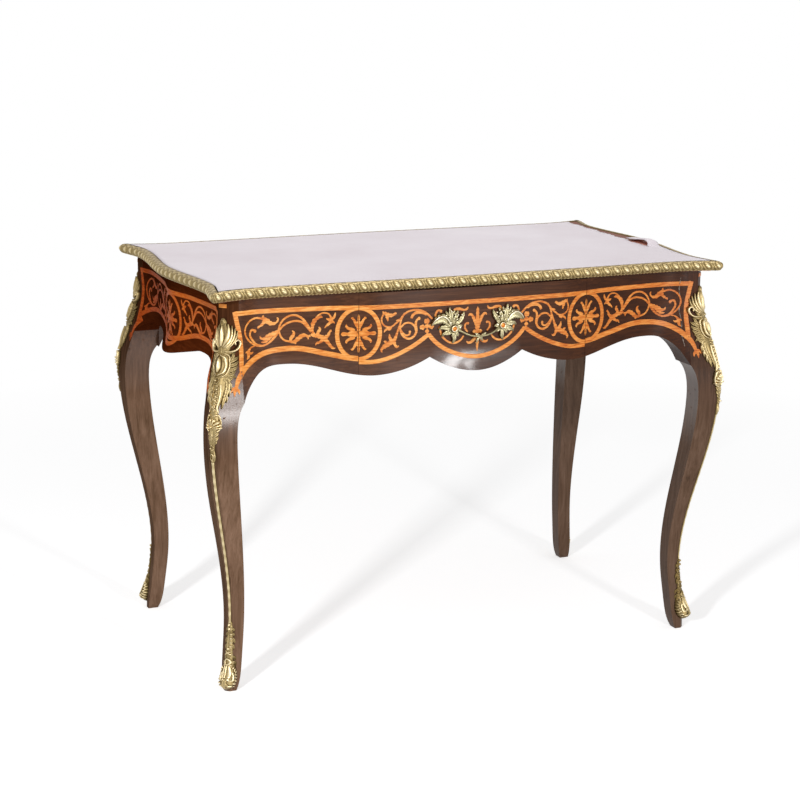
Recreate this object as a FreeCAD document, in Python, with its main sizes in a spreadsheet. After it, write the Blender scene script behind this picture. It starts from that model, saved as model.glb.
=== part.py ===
import FreeCAD, Part
import os
import Sketcher

# A serpentine centre table on four cabriole legs, with one drawer in the front frieze.
# Millimetres. The origin is on the floor under the middle of the top.
# The drawer opens towards -Y, +X is to the right of someone facing the drawer, +Z is up.

Vector = FreeCAD.Vector
doc = FreeCAD.newDocument("centre_table")
sheet = doc.addObject("Spreadsheet::Sheet", "Sizes")

DRIVING_SIZES = (
    ("table_height", 760.0, "floor to the leather"),
    ("leather_thickness", 1.5, "writing leather"),
    ("board_thickness", 18.5, "top board"),
    ("post_corner_x", 497.0, "middle to the outer corner of a leg's post, along X"),
    ("post_corner_y", 270.0, "middle to the outer corner of a leg's post, along Y"),
    ("post_width", 35.0, "leg post, along X"),
    ("post_depth", 34.0, "leg post, along Y"),
    ("corner_flat", 12.0, "flat on a leg's outer corner, at the knee and above"),
    ("ankle_flat", 7.0, "flat on a leg's outer corner, at the ankle and below"),
    ("swell_start_drop", 42.0, "frieze top to where a leg starts to swell"),
    ("tip_drop", 184.5, "frieze top to the lowest tips of the front and back aprons, at the legs"),
    ("end_tip_drop", 149.0, "frieze top to the lowest tips of the end aprons, at the legs"),
    ("knee_drop", 238.0, "frieze top to the widest level of the knee"),
    ("knee_swell", 34.0, "how far the knee stands out past the post"),
    ("knee_width", 53.0, "leg at the knee, along X"),
    ("knee_depth", 47.0, "leg at the knee, along Y"),
    ("square_height", 340.0, "floor to where a leg's section has become square"),
    ("ankle_height", 143.0, "floor to the ankle"),
    ("ankle_draw", 15.5, "how far the ankle stands in from the post"),
    ("ankle_width", 30.0, "leg at the ankle"),
    ("foot_draw", 6.0, "how far the foot stands in from the post"),
    ("foot_width", 20.0, "leg at the floor, inside its worn edges"),
    ("shank_height", 24.0, "floor to where the worn edges end"),
    ("shank_width", 28.0, "leg above the worn edges"),
    ("front_bow", 17.0, "front frieze past the posts, in the middle"),
    ("front_shoulder", 13.5, "front frieze past the posts, at its shoulders"),
    ("front_shoulder_x", 180.0, "middle to the shoulders"),
    ("front_step", 4.5, "front frieze behind the posts, beside the drawer"),
    ("front_step_x", 295.0, "middle to that place"),
    ("front_dip", 12.5, "front frieze behind the posts, near the legs"),
    ("front_dip_in", 83.0, "post corner to that dip"),
    ("end_bow", 12.0, "end frieze past the posts, in the middle"),
    ("end_shoulder", 3.0, "end frieze behind the posts, at its shoulders"),
    ("end_shoulder_y", 85.0, "middle to the end's shoulders"),
    ("end_dip", 12.0, "end frieze behind the posts, near the legs"),
    ("end_dip_in", 70.0, "post corner to that dip"),
    ("swell_reach", 85.0, "how far along a frieze the swelling of the leg runs"),
    ("lobe_drop", 158.0, "frieze top to the middle lobe of the front apron"),
    ("cusp_drop", 127.0, "frieze top to the two cusps of the front apron"),
    ("cusp_x", 95.0, "middle to the cusps"),
    ("valley_drop", 155.5, "frieze top to the side lobes of the front apron"),
    ("valley_x", 205.0, "middle to the side lobes"),
    ("lobe_lean", 8.0, "middle lobe of the front apron, leaning out at its lower edge"),
    ("lean_height", 40.0, "height over which a lobe leans out"),
    ("arch_drop", 126.0, "frieze top to the arches of the front apron"),
    ("arch_in", 127.0, "post corner to the top of the front arches"),
    ("end_lobe_lean", 13.0, "middle lobe of an end apron, leaning out at its lower edge"),
    ("end_lobe_half", 50.0, "middle to where that lean starts to fade"),
    ("end_lobe_drop", 143.0, "frieze top to the middle lobe of the end apron"),
    ("end_arch_drop", 120.0, "frieze top to the arches of the end apron"),
    ("end_arch_in", 135.0, "post corner to the top of the end arches"),
    ("tenon_length", 9.0, "frieze tenons"),
    ("tenon_thickness", 8.0, "frieze tenons"),
    ("tenon_height", 60.0, "frieze tenons"),
    ("tenon_drop", 20.0, "frieze top to the tenons"),
    ("tenon_inset", 10.0, "back of a frieze to its tenon"),
    ("tenon_spacing", 3.0, "wood between the two tenons in a leg"),
    ("top_ear_x", 30.0, "ear of the top past the post, along X"),
    ("top_ear_y", 35.0, "ear of the top past the post, along Y"),
    ("ear_length", 18.0, "rounded length of an ear"),
    ("ear_point", 3.0, "how far an ear's rounding is drawn out"),
    ("top_front_bow", 24.0, "top past the posts, in the middle of the front"),
    ("top_front_dip", 16.0, "top past the posts, in the front's dips"),
    ("top_front_dip_in", 62.0, "post corner to the front's dips"),
    ("top_end_bow", 33.0, "top past the posts, in the middle of an end"),
    ("top_end_dip", 14.0, "top past the posts, in an end's dips"),
    ("top_end_dip_in", 60.0, "post corner to an end's dips"),
    ("moulding_height", 19.0, "brass edge moulding"),
    ("moulding_depth", 19.0, "brass edge moulding, in plan"),
    ("leather_gap", 0.4, "leather to the brass moulding"),
    ("pin_radius", 1.3, "brass pins"),
    ("pin_depth", 12.0, "brass pins, in the wood"),
    ("drawer_half_width", 235.0, "middle to the drawer joints"),
    ("drawer_gap", 0.5, "drawer front to the frieze beside it"),
    ("drawer_top_gap", 1.0, "drawer front to the top board"),
    ("drawer_seat", 262.0, "middle to the back of the drawer front"),
    ("drawer_rest_gap", 0.3, "running gap between the drawer and what carries it"),
    ("drawer_side_gap", 1.0, "drawer side to its guide"),
    ("rail_thickness", 18.0, "front rails, runners and kickers"),
    ("rail_depth", 30.0, "front rails behind the frieze"),
    ("drawer_box_height", 87.0, "drawer sides"),
    ("drawer_side_thickness", 14.0, "drawer sides"),
    ("drawer_back_thickness", 12.0, "drawer back"),
    ("drawer_back_room", 46.0, "drawer to the back frieze"),
    ("bottom_thickness", 6.0, "drawer bottom"),
    ("bottom_lift", 6.0, "lower edge of the drawer sides to the drawer bottom"),
    ("groove_depth", 5.0, "groove that holds the drawer bottom"),
    ("tail_length", 8.0, "dovetails of the drawer sides"),
    ("guide_width", 13.0, "drawer guides"),
    ("guide_height", 30.0, "drawer guides"),
    ("runner_width", 41.0, "drawer runners and kickers"),
    ("block_leg", 45.0, "corner blocks"),
    ("screw_radius", 2.0, "screws that hold the top"),
    ("screw_head_radius", 4.0, "screws that hold the top"),
    ("screw_grip", 12.0, "screws that hold the top, in the board"),
    ("mount_high_drop", 33.0, "frieze top to the upper end of a corner mount"),
    ("mount_shoulder", 40.0, "upper end of a corner mount to its widest level"),
    ("mount_low_drop", 288.0, "frieze top to the lower end of a corner mount"),
    ("mount_reach", 33.0, "corner mount, round each side of the post"),
    ("mount_tail", 14.0, "corner mount, round each side at its tail"),
    ("mount_proud", 11.0, "corner mount, off the wood"),
    ("fillet_width", 8.0, "brass fillets down the legs"),
    ("fillet_proud", 3.0, "brass fillets, off the wood"),
    ("sabot_low", 18.0, "floor to the sabots"),
    ("sabot_reach", 20.0, "sabot, round each side of the foot"),
    ("sabot_top_reach", 9.0, "sabot, round each side at its top"),
    ("toe_height", 26.0, "floor to the scroll toe"),
    ("toe_proud", 19.0, "scroll toe, off the wood"),
    ("rose_x", 50.0, "middle to the handle's roses"),
    ("rose_drop", 76.0, "frieze top to the handle's roses"),
    ("rose_radius", 24.0, "handle's roses"),
    ("rose_proud", 11.0, "handle's roses, off the drawer front"),
    ("leaf_length", 26.0, "outer leaves of the handle, half length"),
    ("leaf_width", 9.0, "outer leaves of the handle, half width"),
    ("leaf_proud", 6.0, "outer leaves of the handle, off the drawer front"),
    ("leaf_x", 76.0, "middle to the outer leaves"),
    ("leaf_rise", 8.0, "outer leaves above the roses"),
    ("crest_height", 41.0, "upper leaves of the handle, from the roses"),
    ("crest_width", 11.0, "upper leaves of the handle, half width"),
    ("bar_radius", 4.5, "handle bar"),
    ("bar_sag", 21.0, "roses to the middle of the handle bar"),
    ("finger_gap", 10.0, "handle bar to the drawer front"),
    ("bolt_radius", 2.5, "handle bolts"),
    ("nut_radius", 7.0, "handle nuts"),
    ("nut_thickness", 4.0, "handle nuts"),
)
for row, (name, number, meaning) in enumerate(DRIVING_SIZES, start=1):
    sheet.set("A%d" % row, name)
    sheet.set("B%d" % row, str(number))
    sheet.set("C%d" % row, meaning)
    sheet.setAlias("B%d" % row, name)
doc.recompute()

# Levels and planes that several pieces share, as formulas on the sheet.
FRIEZE_TOP = "(Sizes.table_height - Sizes.leather_thickness - Sizes.board_thickness)"
JOINT_X = "(Sizes.post_corner_x - Sizes.post_width)"
JOINT_Y = "(Sizes.post_corner_y - Sizes.post_depth)"
RAIL_FRONT = "(Sizes.drawer_seat - Sizes.drawer_rest_gap)"
RAIL_BACK = "(%s - Sizes.rail_depth)" % JOINT_Y
KICKER_LOW = "(%s - Sizes.rail_thickness)" % FRIEZE_TOP
BOX_TOP = "(%s - Sizes.drawer_rest_gap)" % KICKER_LOW
BOX_LOW = "(%s - Sizes.drawer_box_height)" % BOX_TOP
RUNNER_TOP = "(%s - Sizes.drawer_rest_gap)" % BOX_LOW
RUNNER_LOW = "(%s - Sizes.rail_thickness)" % RUNNER_TOP
GUIDE_OUT = "(Sizes.drawer_half_width + Sizes.drawer_gap)"
GUIDE_IN = "(%s - Sizes.guide_width)" % GUIDE_OUT
SIDE_OUT = "(%s - Sizes.drawer_side_gap)" % GUIDE_IN
SIDE_IN = "(%s - Sizes.drawer_side_thickness)" % SIDE_OUT
BOTTOM_LOW = "(%s + Sizes.bottom_lift)" % BOX_LOW
BOTTOM_TOP = "(%s + Sizes.bottom_thickness)" % BOTTOM_LOW
DRAWER_BACK_FACE = "(%s - Sizes.drawer_back_room)" % JOINT_Y
DRAWER_DEPTH = "(%s + Sizes.drawer_seat)" % DRAWER_BACK_FACE


def value(formula):
    """Give the number that a formula on the sheet comes to."""
    return float(sheet.evalExpression(formula))


def size(name):
    """Give one driving size."""
    return float(sheet.get(name))


pieces = {}
# How deep a casting is made into the wood before it is cut to fit, and a length past everything.
SINK = 5.0
BEYOND = 1000.0
# Sections of the lofts and points of the skins.
LEG_SECTIONS = 15
POST_SECTIONS = 9
ARCH_SECTIONS = 5
MOUNT_SECTIONS = 13
FILLET_SECTIONS = 9
SABOT_SECTIONS = 11
SKIN_COLUMNS = 37
SKIN_ROWS = 13
FRONT_EDGE_POINTS = 25
END_EDGE_POINTS = 19
frieze_top = value(FRIEZE_TOP)
joint_x = value(JOINT_X)
joint_y = value(JOINT_Y)
corner_x = size("post_corner_x")
corner_y = size("post_corner_y")
tip_height = frieze_top - size("tip_drop")
end_tip_height = frieze_top - size("end_tip_drop")
knee_height = frieze_top - size("knee_drop")


def keep(label, piece):
    """Name a finished object of the document as a sub-part."""
    piece.Label = label
    pieces[label] = piece
    return piece


def keep_shape(label, shape):
    """Add a shape as a sub-part of its own."""
    feature = doc.addObject("Part::Feature", label)
    feature.Shape = shape
    return keep(label, feature)


def block(name, lengths, corner):
    """Add a box whose lengths and lowest corner are formulas on the sheet."""
    box = doc.addObject("Part::Box", name)
    for side, formula in zip(("Length", "Width", "Height"), lengths):
        box.setExpression(side, formula)
    for axis, formula in zip("xyz", corner):
        box.setExpression("Placement.Base." + axis, formula)
    return box


def padded(name, plane, outline, length, reverse=False):
    """Add a body: a closed sketch whose corners are formulas, padded to a length."""
    body = doc.addObject("PartDesign::Body", name)
    sketch = body.newObject("Sketcher::SketchObject", name + "_outline")
    origin_plane = [item for item in body.Origin.OriginFeatures if item.Role == plane][0]
    sketch.AttachmentSupport = [(origin_plane, "")]
    sketch.MapMode = "FlatFace"
    corners = [Vector(value(across), value(along), 0) for across, along in outline]
    for start, end in zip(corners, corners[1:] + corners[:1]):
        sketch.addGeometry(Part.LineSegment(start, end))
    for index in range(len(corners)):
        following = (index + 1) % len(corners)
        sketch.addConstraint(Sketcher.Constraint("Coincident", index, 2, following, 1))
    for index, corner in enumerate(outline):
        for kind, formula in zip(("DistanceX", "DistanceY"), corner):
            number = sketch.addConstraint(
                Sketcher.Constraint(kind, -1, 1, index, 1, value(formula)))
            sketch.setExpression("Constraints[%d]" % number, formula)
    pad = body.newObject("PartDesign::Pad", name + "_pad")
    pad.Profile = sketch
    pad.setExpression("Length", length)
    pad.Reversed = reverse
    return body


def smooth(stations, at):
    """Follow a smooth line through stations of (place, value) that never overshoots them."""
    places = [place for place, level in stations]
    levels = [level for place, level in stations]
    if at <= places[0]:
        return levels[0]
    if at >= places[-1]:
        return levels[-1]
    rises = [(levels[i + 1] - levels[i]) / (places[i + 1] - places[i]) for i in range(len(places) - 1)]
    slopes = [0.0]
    for before, after in zip(rises, rises[1:]):
        slopes.append(2 * before * after / (before + after) if before * after > 0 else 0.0)
    slopes.append(0.0)
    first = max(i for i in range(len(places) - 1) if places[i] <= at)
    span = places[first + 1] - places[first]
    share = (at - places[first]) / span
    rise = share * share * (3 - 2 * share)
    bend_first = share * (1 - share) ** 2
    bend_last = share * share * (share - 1)
    level = levels[first] + (levels[first + 1] - levels[first]) * rise
    return level + span * (bend_first * slopes[first] + bend_last * slopes[first + 1])


def polygon(points):
    """Close a run of points with straight edges."""
    return Part.makePolygon(points + points[:1])


def spread(low, high, count):
    """Give evenly spaced places from low to high."""
    return [low + (high - low) * i / (count - 1) for i in range(count)]


def box_between(low, high):
    """Make a box from its lowest and highest corners."""
    return Part.makeBox(high[0] - low[0], high[1] - low[1], high[2] - low[2], Vector(*low))


def mirror_x(shape):
    return shape.mirror(Vector(), Vector(1, 0, 0))


def mirror_y(shape):
    return shape.mirror(Vector(), Vector(0, 1, 0))


# The plan of the friezes, as distances past the post corners.
FRONT_PLAN = (
    (0.0, size("front_bow")),
    (size("front_shoulder_x"), size("front_shoulder")),
    (size("front_step_x"), -size("front_step")),
    (corner_x - size("front_dip_in"), -size("front_dip")),
    (corner_x - size("corner_flat"), 0.0),
)
END_PLAN = (
    (0.0, size("end_bow")),
    (size("end_shoulder_y"), -size("end_shoulder")),
    (corner_y - size("end_dip_in"), -size("end_dip")),
    (corner_y - size("corner_flat"), 0.0),
)

# The cabriole line of a leg, as distances past the post corner, and its widths.
LEG_SWELL = (
    (0.0, -size("foot_draw")),
    (size("ankle_height"), -size("ankle_draw")),
    (knee_height, size("knee_swell")),
    (frieze_top - size("swell_start_drop"), 0.0),
)
LEG_WIDTH = (
    (0.0, size("foot_width")),
    (size("shank_height"), size("shank_width")),
    (size("ankle_height"), size("ankle_width")),
    (knee_height, size("knee_width")),
)
LEG_DEPTH = LEG_WIDTH[:-1] + ((knee_height, size("knee_depth")),)
LEG_FLAT = (
    (size("ankle_height"), size("ankle_flat")),
    (knee_height, size("corner_flat")),
)


def leg_reach(height, stations, post, tip, power):
    """Give a leg's width or depth: under an apron's tip it opens from the knee to the whole post."""
    if height <= knee_height:
        return smooth(stations, height)
    knee = stations[-1][1]
    share = (height - knee_height) / (tip - knee_height)
    return knee + (post + smooth(LEG_SWELL, tip) - knee) * share ** power


def leg_corners(height):
    """Give a leg's section: inner corner, front face, corner flat, side face."""
    swell = smooth(LEG_SWELL, height)
    flat = smooth(LEG_FLAT, height)
    out_x = corner_x + swell
    out_y = corner_y + swell
    in_x = joint_x
    in_y = joint_y
    if height < tip_height:
        in_x = out_x - leg_reach(height, LEG_WIDTH, size("post_width"), tip_height, 1.7)
    if height < end_tip_height:
        in_y = out_y - leg_reach(height, LEG_DEPTH, size("post_depth"), end_tip_height, 4.0)
    flare = smooth(((size("square_height"), 0.0), (tip_height, 1.0)), height)
    front_in = out_y + smooth(FRONT_PLAN, joint_x) * flare
    side_in = out_x + smooth(END_PLAN, joint_y) * flare
    return ((in_x, in_y), (in_x, front_in), (out_x - flat, out_y), (out_x, out_y - flat), (side_in, in_y))


def section(points, height):
    """Lay a closed polygon at a height."""
    return polygon([Vector(across, along, height) for across, along in points])


def make_leg():
    """Loft the leg of the back right corner, with its two mortises."""
    lengths = []
    for low, high, count in (
            (0.0, tip_height, LEG_SECTIONS),
            (tip_height, end_tip_height, ARCH_SECTIONS),
            (end_tip_height, frieze_top, POST_SECTIONS)):
        sections = [section(leg_corners(height), height) for height in spread(low, high, count)]
        lengths.append(Part.makeLoft(sections, True))
    leg = lengths[0].fuse(lengths[1:]).removeSplitter()
    return leg.cut(front_tenon()).cut(end_tenon())


def front_tenon():
    """Make the tenon of a front or back frieze, at the back right corner."""
    low = (joint_x, joint_y + size("tenon_inset"), frieze_top - size("tenon_drop") - size("tenon_height"))
    high = (joint_x + size("tenon_length"), low[1] + size("tenon_thickness"), frieze_top - size("tenon_drop"))
    return box_between(low, high)


def end_tenon():
    """Make the tenon of an end frieze, at the back right corner, clear of the other tenon."""
    start = joint_x + size("tenon_length") + size("tenon_spacing")
    low = (start, joint_y, frieze_top - size("tenon_drop") - size("tenon_height"))
    high = (start + size("tenon_thickness"), joint_y + size("tenon_length"), frieze_top - size("tenon_drop"))
    return box_between(low, high)


def apron_lean(lean, drop, sideways):
    """Make the rule for how far the middle lobe of an apron leans out at a place on it."""
    low = frieze_top - drop
    upward = ((low - size("lean_height"), 2.0 * lean), (low + size("lean_height"), 0.0))
    return lambda along, height: smooth(upward, height) * smooth(sideways, abs(along))


FRONT_LEAN = apron_lean(size("lobe_lean"), size("lobe_drop"), ((0.0, 1.0), (size("cusp_x"), 0.0)))
END_LEAN = apron_lean(
    size("end_lobe_lean"), size("end_lobe_drop"),
    ((size("end_lobe_half"), 1.0), (corner_y - size("end_arch_in"), 0.0)))


def bulging_slab(half_length, plan, outer, lean, place):
    """Make a thick slab whose outer face follows a plan and swells towards the legs."""
    reach = ((half_length - size("swell_reach"), 0.0), (half_length, 1.0))
    rows = []
    for along in spread(-half_length, half_length, SKIN_COLUMNS):
        row = []
        for height in spread(tip_height, frieze_top, SKIN_ROWS):
            swell = smooth(LEG_SWELL, height) * smooth(reach, abs(along))
            out = outer + smooth(plan, abs(along)) + swell + lean(along, height)
            row.append(place(along, out, height))
        rows.append(row)
    skin = Part.BSplineSurface()
    skin.interpolate(rows)
    return skin.toShape().extrude(place(0.0, -2.0 * size("post_width") - size("knee_swell"), 0.0))


def s_curve(start, end, share=0.38):
    """Join two level points of a contour with a smooth S."""
    span = Vector((end.x - start.x) * share, (end.y - start.y) * share, 0)
    curve = Part.BezierCurve()
    curve.setPoles([start, start + span, end - span, end])
    return curve.toShape()


def leg_sweep(arch, tip, level, reach, slope):
    """Join an arch of the apron to the leg, level at the arch and steep at the tip."""
    across = Vector((tip.x - arch.x) / 3, (tip.y - arch.y) / 3, 0)
    steep = Vector(0, 0, across.Length * reach * slope)
    curve = Part.BezierCurve()
    curve.setPoles([arch, arch + across * level, tip - across * reach + steep, tip])
    return curve.toShape()


def apron_cutter(edges, start, end, through):
    """Make the solid that cuts an apron's contour: everything under it."""
    drop = Vector(0, 0, tip_height)
    low_end = end - drop
    low_start = start - drop
    box = [Part.makeLine(end, low_end), Part.makeLine(low_end, low_start), Part.makeLine(low_start, start)]
    face = Part.Face(Part.Wire(Part.__sortEdges__(edges + box)))
    face.translate(through * -0.5)
    return face.extrude(through)


def mirrored_edges(edges, flip):
    return edges + [flip(edge) for edge in edges]


def front_apron():
    """Make the cutter of the front and back aprons: a lobe, two side lobes and two arches."""
    def at(across, drop):
        return Vector(across, 0, frieze_top - drop)

    cusp = at(size("cusp_x"), size("cusp_drop"))
    valley = at(size("valley_x"), size("valley_drop"))
    arch = at(corner_x - size("arch_in"), size("arch_drop"))
    tip = at(joint_x, size("tip_drop"))
    lobe = Part.Arc(at(-size("cusp_x"), size("cusp_drop")), at(0, size("lobe_drop")), cusp).toShape()
    side = cusp + (valley - cusp) * 0.5
    side.z -= (cusp.z - valley.z) * 0.25
    half = [Part.Arc(cusp, side, valley).toShape(), s_curve(valley, arch), leg_sweep(arch, tip, 1.0, 1.0, 2.0)]
    edges = [lobe] + mirrored_edges(half, mirror_x)
    return apron_cutter(edges, Vector(-tip.x, 0, tip.z), tip, Vector(0, BEYOND, 0))


def end_apron():
    """Make the cutter of the end aprons: a lobe between two arches."""
    lobe = Vector(0, 0, frieze_top - size("end_lobe_drop"))
    arch = Vector(0, corner_y - size("end_arch_in"), frieze_top - size("end_arch_drop"))
    tip = Vector(0, joint_y, end_tip_height)
    half = [s_curve(lobe, arch), leg_sweep(arch, tip, 1.3, 0.6, 1.1)]
    edges = mirrored_edges(half, mirror_y)
    return apron_cutter(edges, Vector(0, -tip.y, tip.z), tip, Vector(2 * BEYOND, 0, 0))


# Friezes. The front slab gives the drawer front and the pieces beside it, so that they line up.
front_slab = bulging_slab(
    joint_x, FRONT_PLAN, corner_y, FRONT_LEAN, lambda along, out, z: Vector(along, -out, z))
front_slab = front_slab.cut(front_apron())
end_slab = bulging_slab(
    joint_y, END_PLAN, corner_x, END_LEAN, lambda along, out, z: Vector(out, along, z))
end_slab = end_slab.cut(end_apron())


def slab_part(slab, low, high):
    """Keep the part of a slab inside a box."""
    return slab.common(box_between(low, high)).removeSplitter()


frieze_front_right = slab_part(
    front_slab,
    (size("drawer_half_width"), -BEYOND, 0.0),
    (joint_x, -joint_y, frieze_top))
frieze_front_right = frieze_front_right.fuse(mirror_y(front_tenon()))
keep_shape("frieze_front_right", frieze_front_right)
keep_shape("frieze_front_left", mirror_x(frieze_front_right))

frieze_back = slab_part(front_slab, (-joint_x, -BEYOND, 0.0), (joint_x, -joint_y, frieze_top))
frieze_back = mirror_y(frieze_back).fuse(front_tenon()).fuse(mirror_x(front_tenon()))
keep_shape("frieze_back", frieze_back)

frieze_right = slab_part(end_slab, (joint_x, -joint_y, 0.0), (BEYOND, joint_y, frieze_top))
frieze_right = frieze_right.fuse(end_tenon()).fuse(mirror_y(end_tenon()))
keep_shape("frieze_right", frieze_right)
keep_shape("frieze_left", mirror_x(frieze_right))


# Brass mounts on the legs, made for the back right corner.
def face_level(height, inset, front):
    """Find how far out a leg's face is at a distance in from its outer corner."""
    inner, front_in, front_flat, side_flat, side_in = leg_corners(height)
    past_flat = max(inset - smooth(LEG_FLAT, height), 0.0)
    if front:
        share = past_flat / (front_flat[0] - front_in[0])
        return front_flat[1] + (front_in[1] - front_flat[1]) * share
    share = past_flat / (side_flat[1] - side_in[1])
    return side_flat[0] + (side_in[0] - side_flat[0]) * share


def wrap_section(height, reach, proud):
    """Lay a bracket-shaped section round a leg's outer corner, sunk a little into the wood."""
    swell = smooth(LEG_SWELL, height)
    flat = smooth(LEG_FLAT, height)
    out_x = corner_x + swell
    out_y = corner_y + swell
    front = face_level(height, reach, True)
    side = face_level(height, reach, False)
    rim = proud * 0.4
    points = (
        (out_x - reach, front - SINK),
        (out_x - reach, front + rim),
        (out_x - flat * 0.7, out_y + proud),
        (out_x + proud, out_y - flat * 0.7),
        (side + rim, out_y - reach),
        (side - SINK, out_y - reach),
        (out_x - flat - SINK, out_y - flat - SINK),
    )
    return section(points, height)


def wrap(low, high, reaches, prouds, count, leg):
    """Loft a mount round a leg's outer corner and fit it to the wood."""
    sections = []
    for height in spread(low, high, count):
        sections.append(wrap_section(height, smooth(reaches, height), smooth(prouds, height)))
    return Part.makeLoft(sections, True).cut(leg)


def make_fillet(low, high, leg):
    """Loft the brass strip that runs down the corner flat."""
    half = size("fillet_width") / 2
    proud = size("fillet_proud")
    sections = []
    for height in spread(low, high, FILLET_SECTIONS):
        swell = smooth(LEG_SWELL, height)
        flat = smooth(LEG_FLAT, height)
        middle = Vector(corner_x + swell - flat / 2, corner_y + swell - flat / 2, height)
        outward = Vector(1, 1, 0).normalize()
        sideways = Vector(-1, 1, 0).normalize()
        outline = ((-half, -SINK), (-half, proud * 0.4), (-half * 0.5, proud), (half * 0.5, proud),
                   (half, proud * 0.4), (half, -SINK))
        sections.append(polygon([middle + sideways * across + outward * out for across, out in outline]))
    return Part.makeLoft(sections, True).cut(leg)


def corner_pin(height):
    """Make a pin that holds a mount to the corner flat."""
    swell = smooth(LEG_SWELL, height)
    flat = smooth(LEG_FLAT, height)
    outward = Vector(1, 1, 0).normalize()
    middle = Vector(corner_x + swell - flat / 2, corner_y + swell - flat / 2, height)
    length = size("pin_depth") + size("fillet_proud") * 0.6
    return Part.makeCylinder(size("pin_radius"), length, middle - outward * size("pin_depth"), outward)


mount_high = frieze_top - size("mount_high_drop")
mount_low = frieze_top - size("mount_low_drop")
fillet_low = size("ankle_height")
MOUNT_REACH = (
    (mount_low, size("mount_tail")),
    (tip_height, (size("mount_tail") + size("mount_reach")) / 2),
    (mount_high - size("mount_shoulder"), size("mount_reach")),
    (mount_high, size("mount_reach") * 0.75),
)
MOUNT_PROUD = (
    (mount_low, size("fillet_proud")),
    (knee_height, size("mount_proud") * 0.8),
    (tip_height, size("mount_proud")),
    (mount_high - size("mount_shoulder"), size("mount_proud")),
    (mount_high, size("mount_proud") * 0.7),
)
SABOT_REACH = (
    (size("sabot_low"), size("sabot_reach")),
    (size("toe_height") * 2, size("sabot_reach")),
    (fillet_low, size("sabot_top_reach")),
)
SABOT_PROUD = (
    (size("sabot_low"), size("toe_proud") * 0.6),
    (size("toe_height"), size("toe_proud")),
    (size("toe_height") * 2, size("toe_proud") * 0.45),
    (fillet_low, size("fillet_proud")),
)
leg = make_leg()
mount = wrap(mount_low, mount_high, MOUNT_REACH, MOUNT_PROUD, MOUNT_SECTIONS, leg)
fillet = make_fillet(fillet_low, mount_low, leg)
sabot = wrap(size("sabot_low"), fillet_low, SABOT_REACH, SABOT_PROUD, SABOT_SECTIONS, leg)
pin_heights = (
    (mount_low + knee_height) / 2, (tip_height + mount_high) / 2,
    mount_high - size("mount_shoulder") / 2,
    fillet_low + (mount_low - fillet_low) * 0.15, (fillet_low + mount_low) / 2,
    mount_low - (mount_low - fillet_low) * 0.15,
    (size("toe_height") + fillet_low) / 2, size("toe_height"),
)
corner_pins = Part.makeCompound([corner_pin(height) for height in pin_heights])
CORNERS = {
    "back_right": lambda shape: shape,
    "back_left": mirror_x,
    "front_right": mirror_y,
    "front_left": lambda shape: mirror_x(mirror_y(shape)),
}
leg = leg.cut(corner_pins)
for corner, turn in CORNERS.items():
    keep_shape("leg_" + corner, turn(leg))
    keep_shape("corner_mount_" + corner, turn(mount.cut(corner_pins)))
    keep_shape("leg_fillet_" + corner, turn(fillet.cut(corner_pins)))
    keep_shape("sabot_" + corner, turn(sabot.cut(corner_pins)))
keep_shape("mount_pins", Part.makeCompound([turn(corner_pins) for turn in CORNERS.values()]))


# The top: a board inside a brass edge moulding, with leather on it.
TOP_FRONT = (
    (0.0, size("top_front_bow")),
    (corner_x - size("top_front_dip_in"), size("top_front_dip")),
    (corner_x + size("top_ear_x"), size("top_ear_y")),
)
TOP_END = (
    (0.0, size("top_end_bow")),
    (corner_y - size("top_end_dip_in"), size("top_end_dip")),
    (corner_y + size("top_ear_y"), size("top_ear_x")),
)


def top_outline(inset, height):
    """Lay the serpentine outline of the top, with its four rounded ears, some way in from the edge."""
    def curve(points):
        line = Part.BSplineCurve()
        line.interpolate(points)
        return line.toShape()

    # Nearer the middle, the dips and ears lie closer together by part of the inset.
    drawn_in = inset * 0.6
    front_half = corner_x + size("top_ear_x") - size("ear_length") - drawn_in
    end_half = corner_y + size("top_ear_y") - size("ear_length") - drawn_in
    fronts = [Vector(x, corner_y + smooth(TOP_FRONT, abs(x) + drawn_in) - inset, height)
              for x in spread(-front_half, front_half, FRONT_EDGE_POINTS)]
    ends = [Vector(corner_x + smooth(TOP_END, abs(y) + drawn_in) - inset, y, height)
            for y in spread(-end_half, end_half, END_EDGE_POINTS)]
    ear = Part.BezierCurve()
    tip_out = Vector(ends[-1].x + size("ear_point"), fronts[-1].y + size("ear_point"), height)
    ear.setPoles([fronts[-1], tip_out, ends[-1]])
    back = curve(fronts)
    right = curve(ends)
    ears = [ear.toShape(), mirror_x(ear.toShape())]
    ears += [mirror_y(edge) for edge in ears]
    edges = [back, mirror_y(back), right, mirror_x(right)] + ears
    return Part.Wire(Part.__sortEdges__(edges))


def top_plate(inset, low, high):
    """Make a plate of the top's outline."""
    return Part.Face(top_outline(inset, low)).extrude(Vector(0, 0, high - low))


def moulding_ring(low, high, depth):
    """Make the whole edge moulding: a rounded band round the top."""
    rise = high - low
    profile = ((0.0, 0.16), (0.2, 0.02), (0.5, 0.0), (0.8, 0.12), (0.94, 0.34), (1.0, 0.62))
    levels = [top_outline(depth * share, low + rise * up) for up, share in profile]
    band = Part.makeLoft(levels, True, True)
    return band.cut(top_plate(depth, low - 1.0, high + 1.0))


def mitre_wedge(points):
    """Make the prism that cuts one length of moulding at its mitres."""
    return Part.Face(polygon([Vector(x, y, 0) for x, y in points])).extrude(Vector(0, 0, BEYOND))


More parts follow.
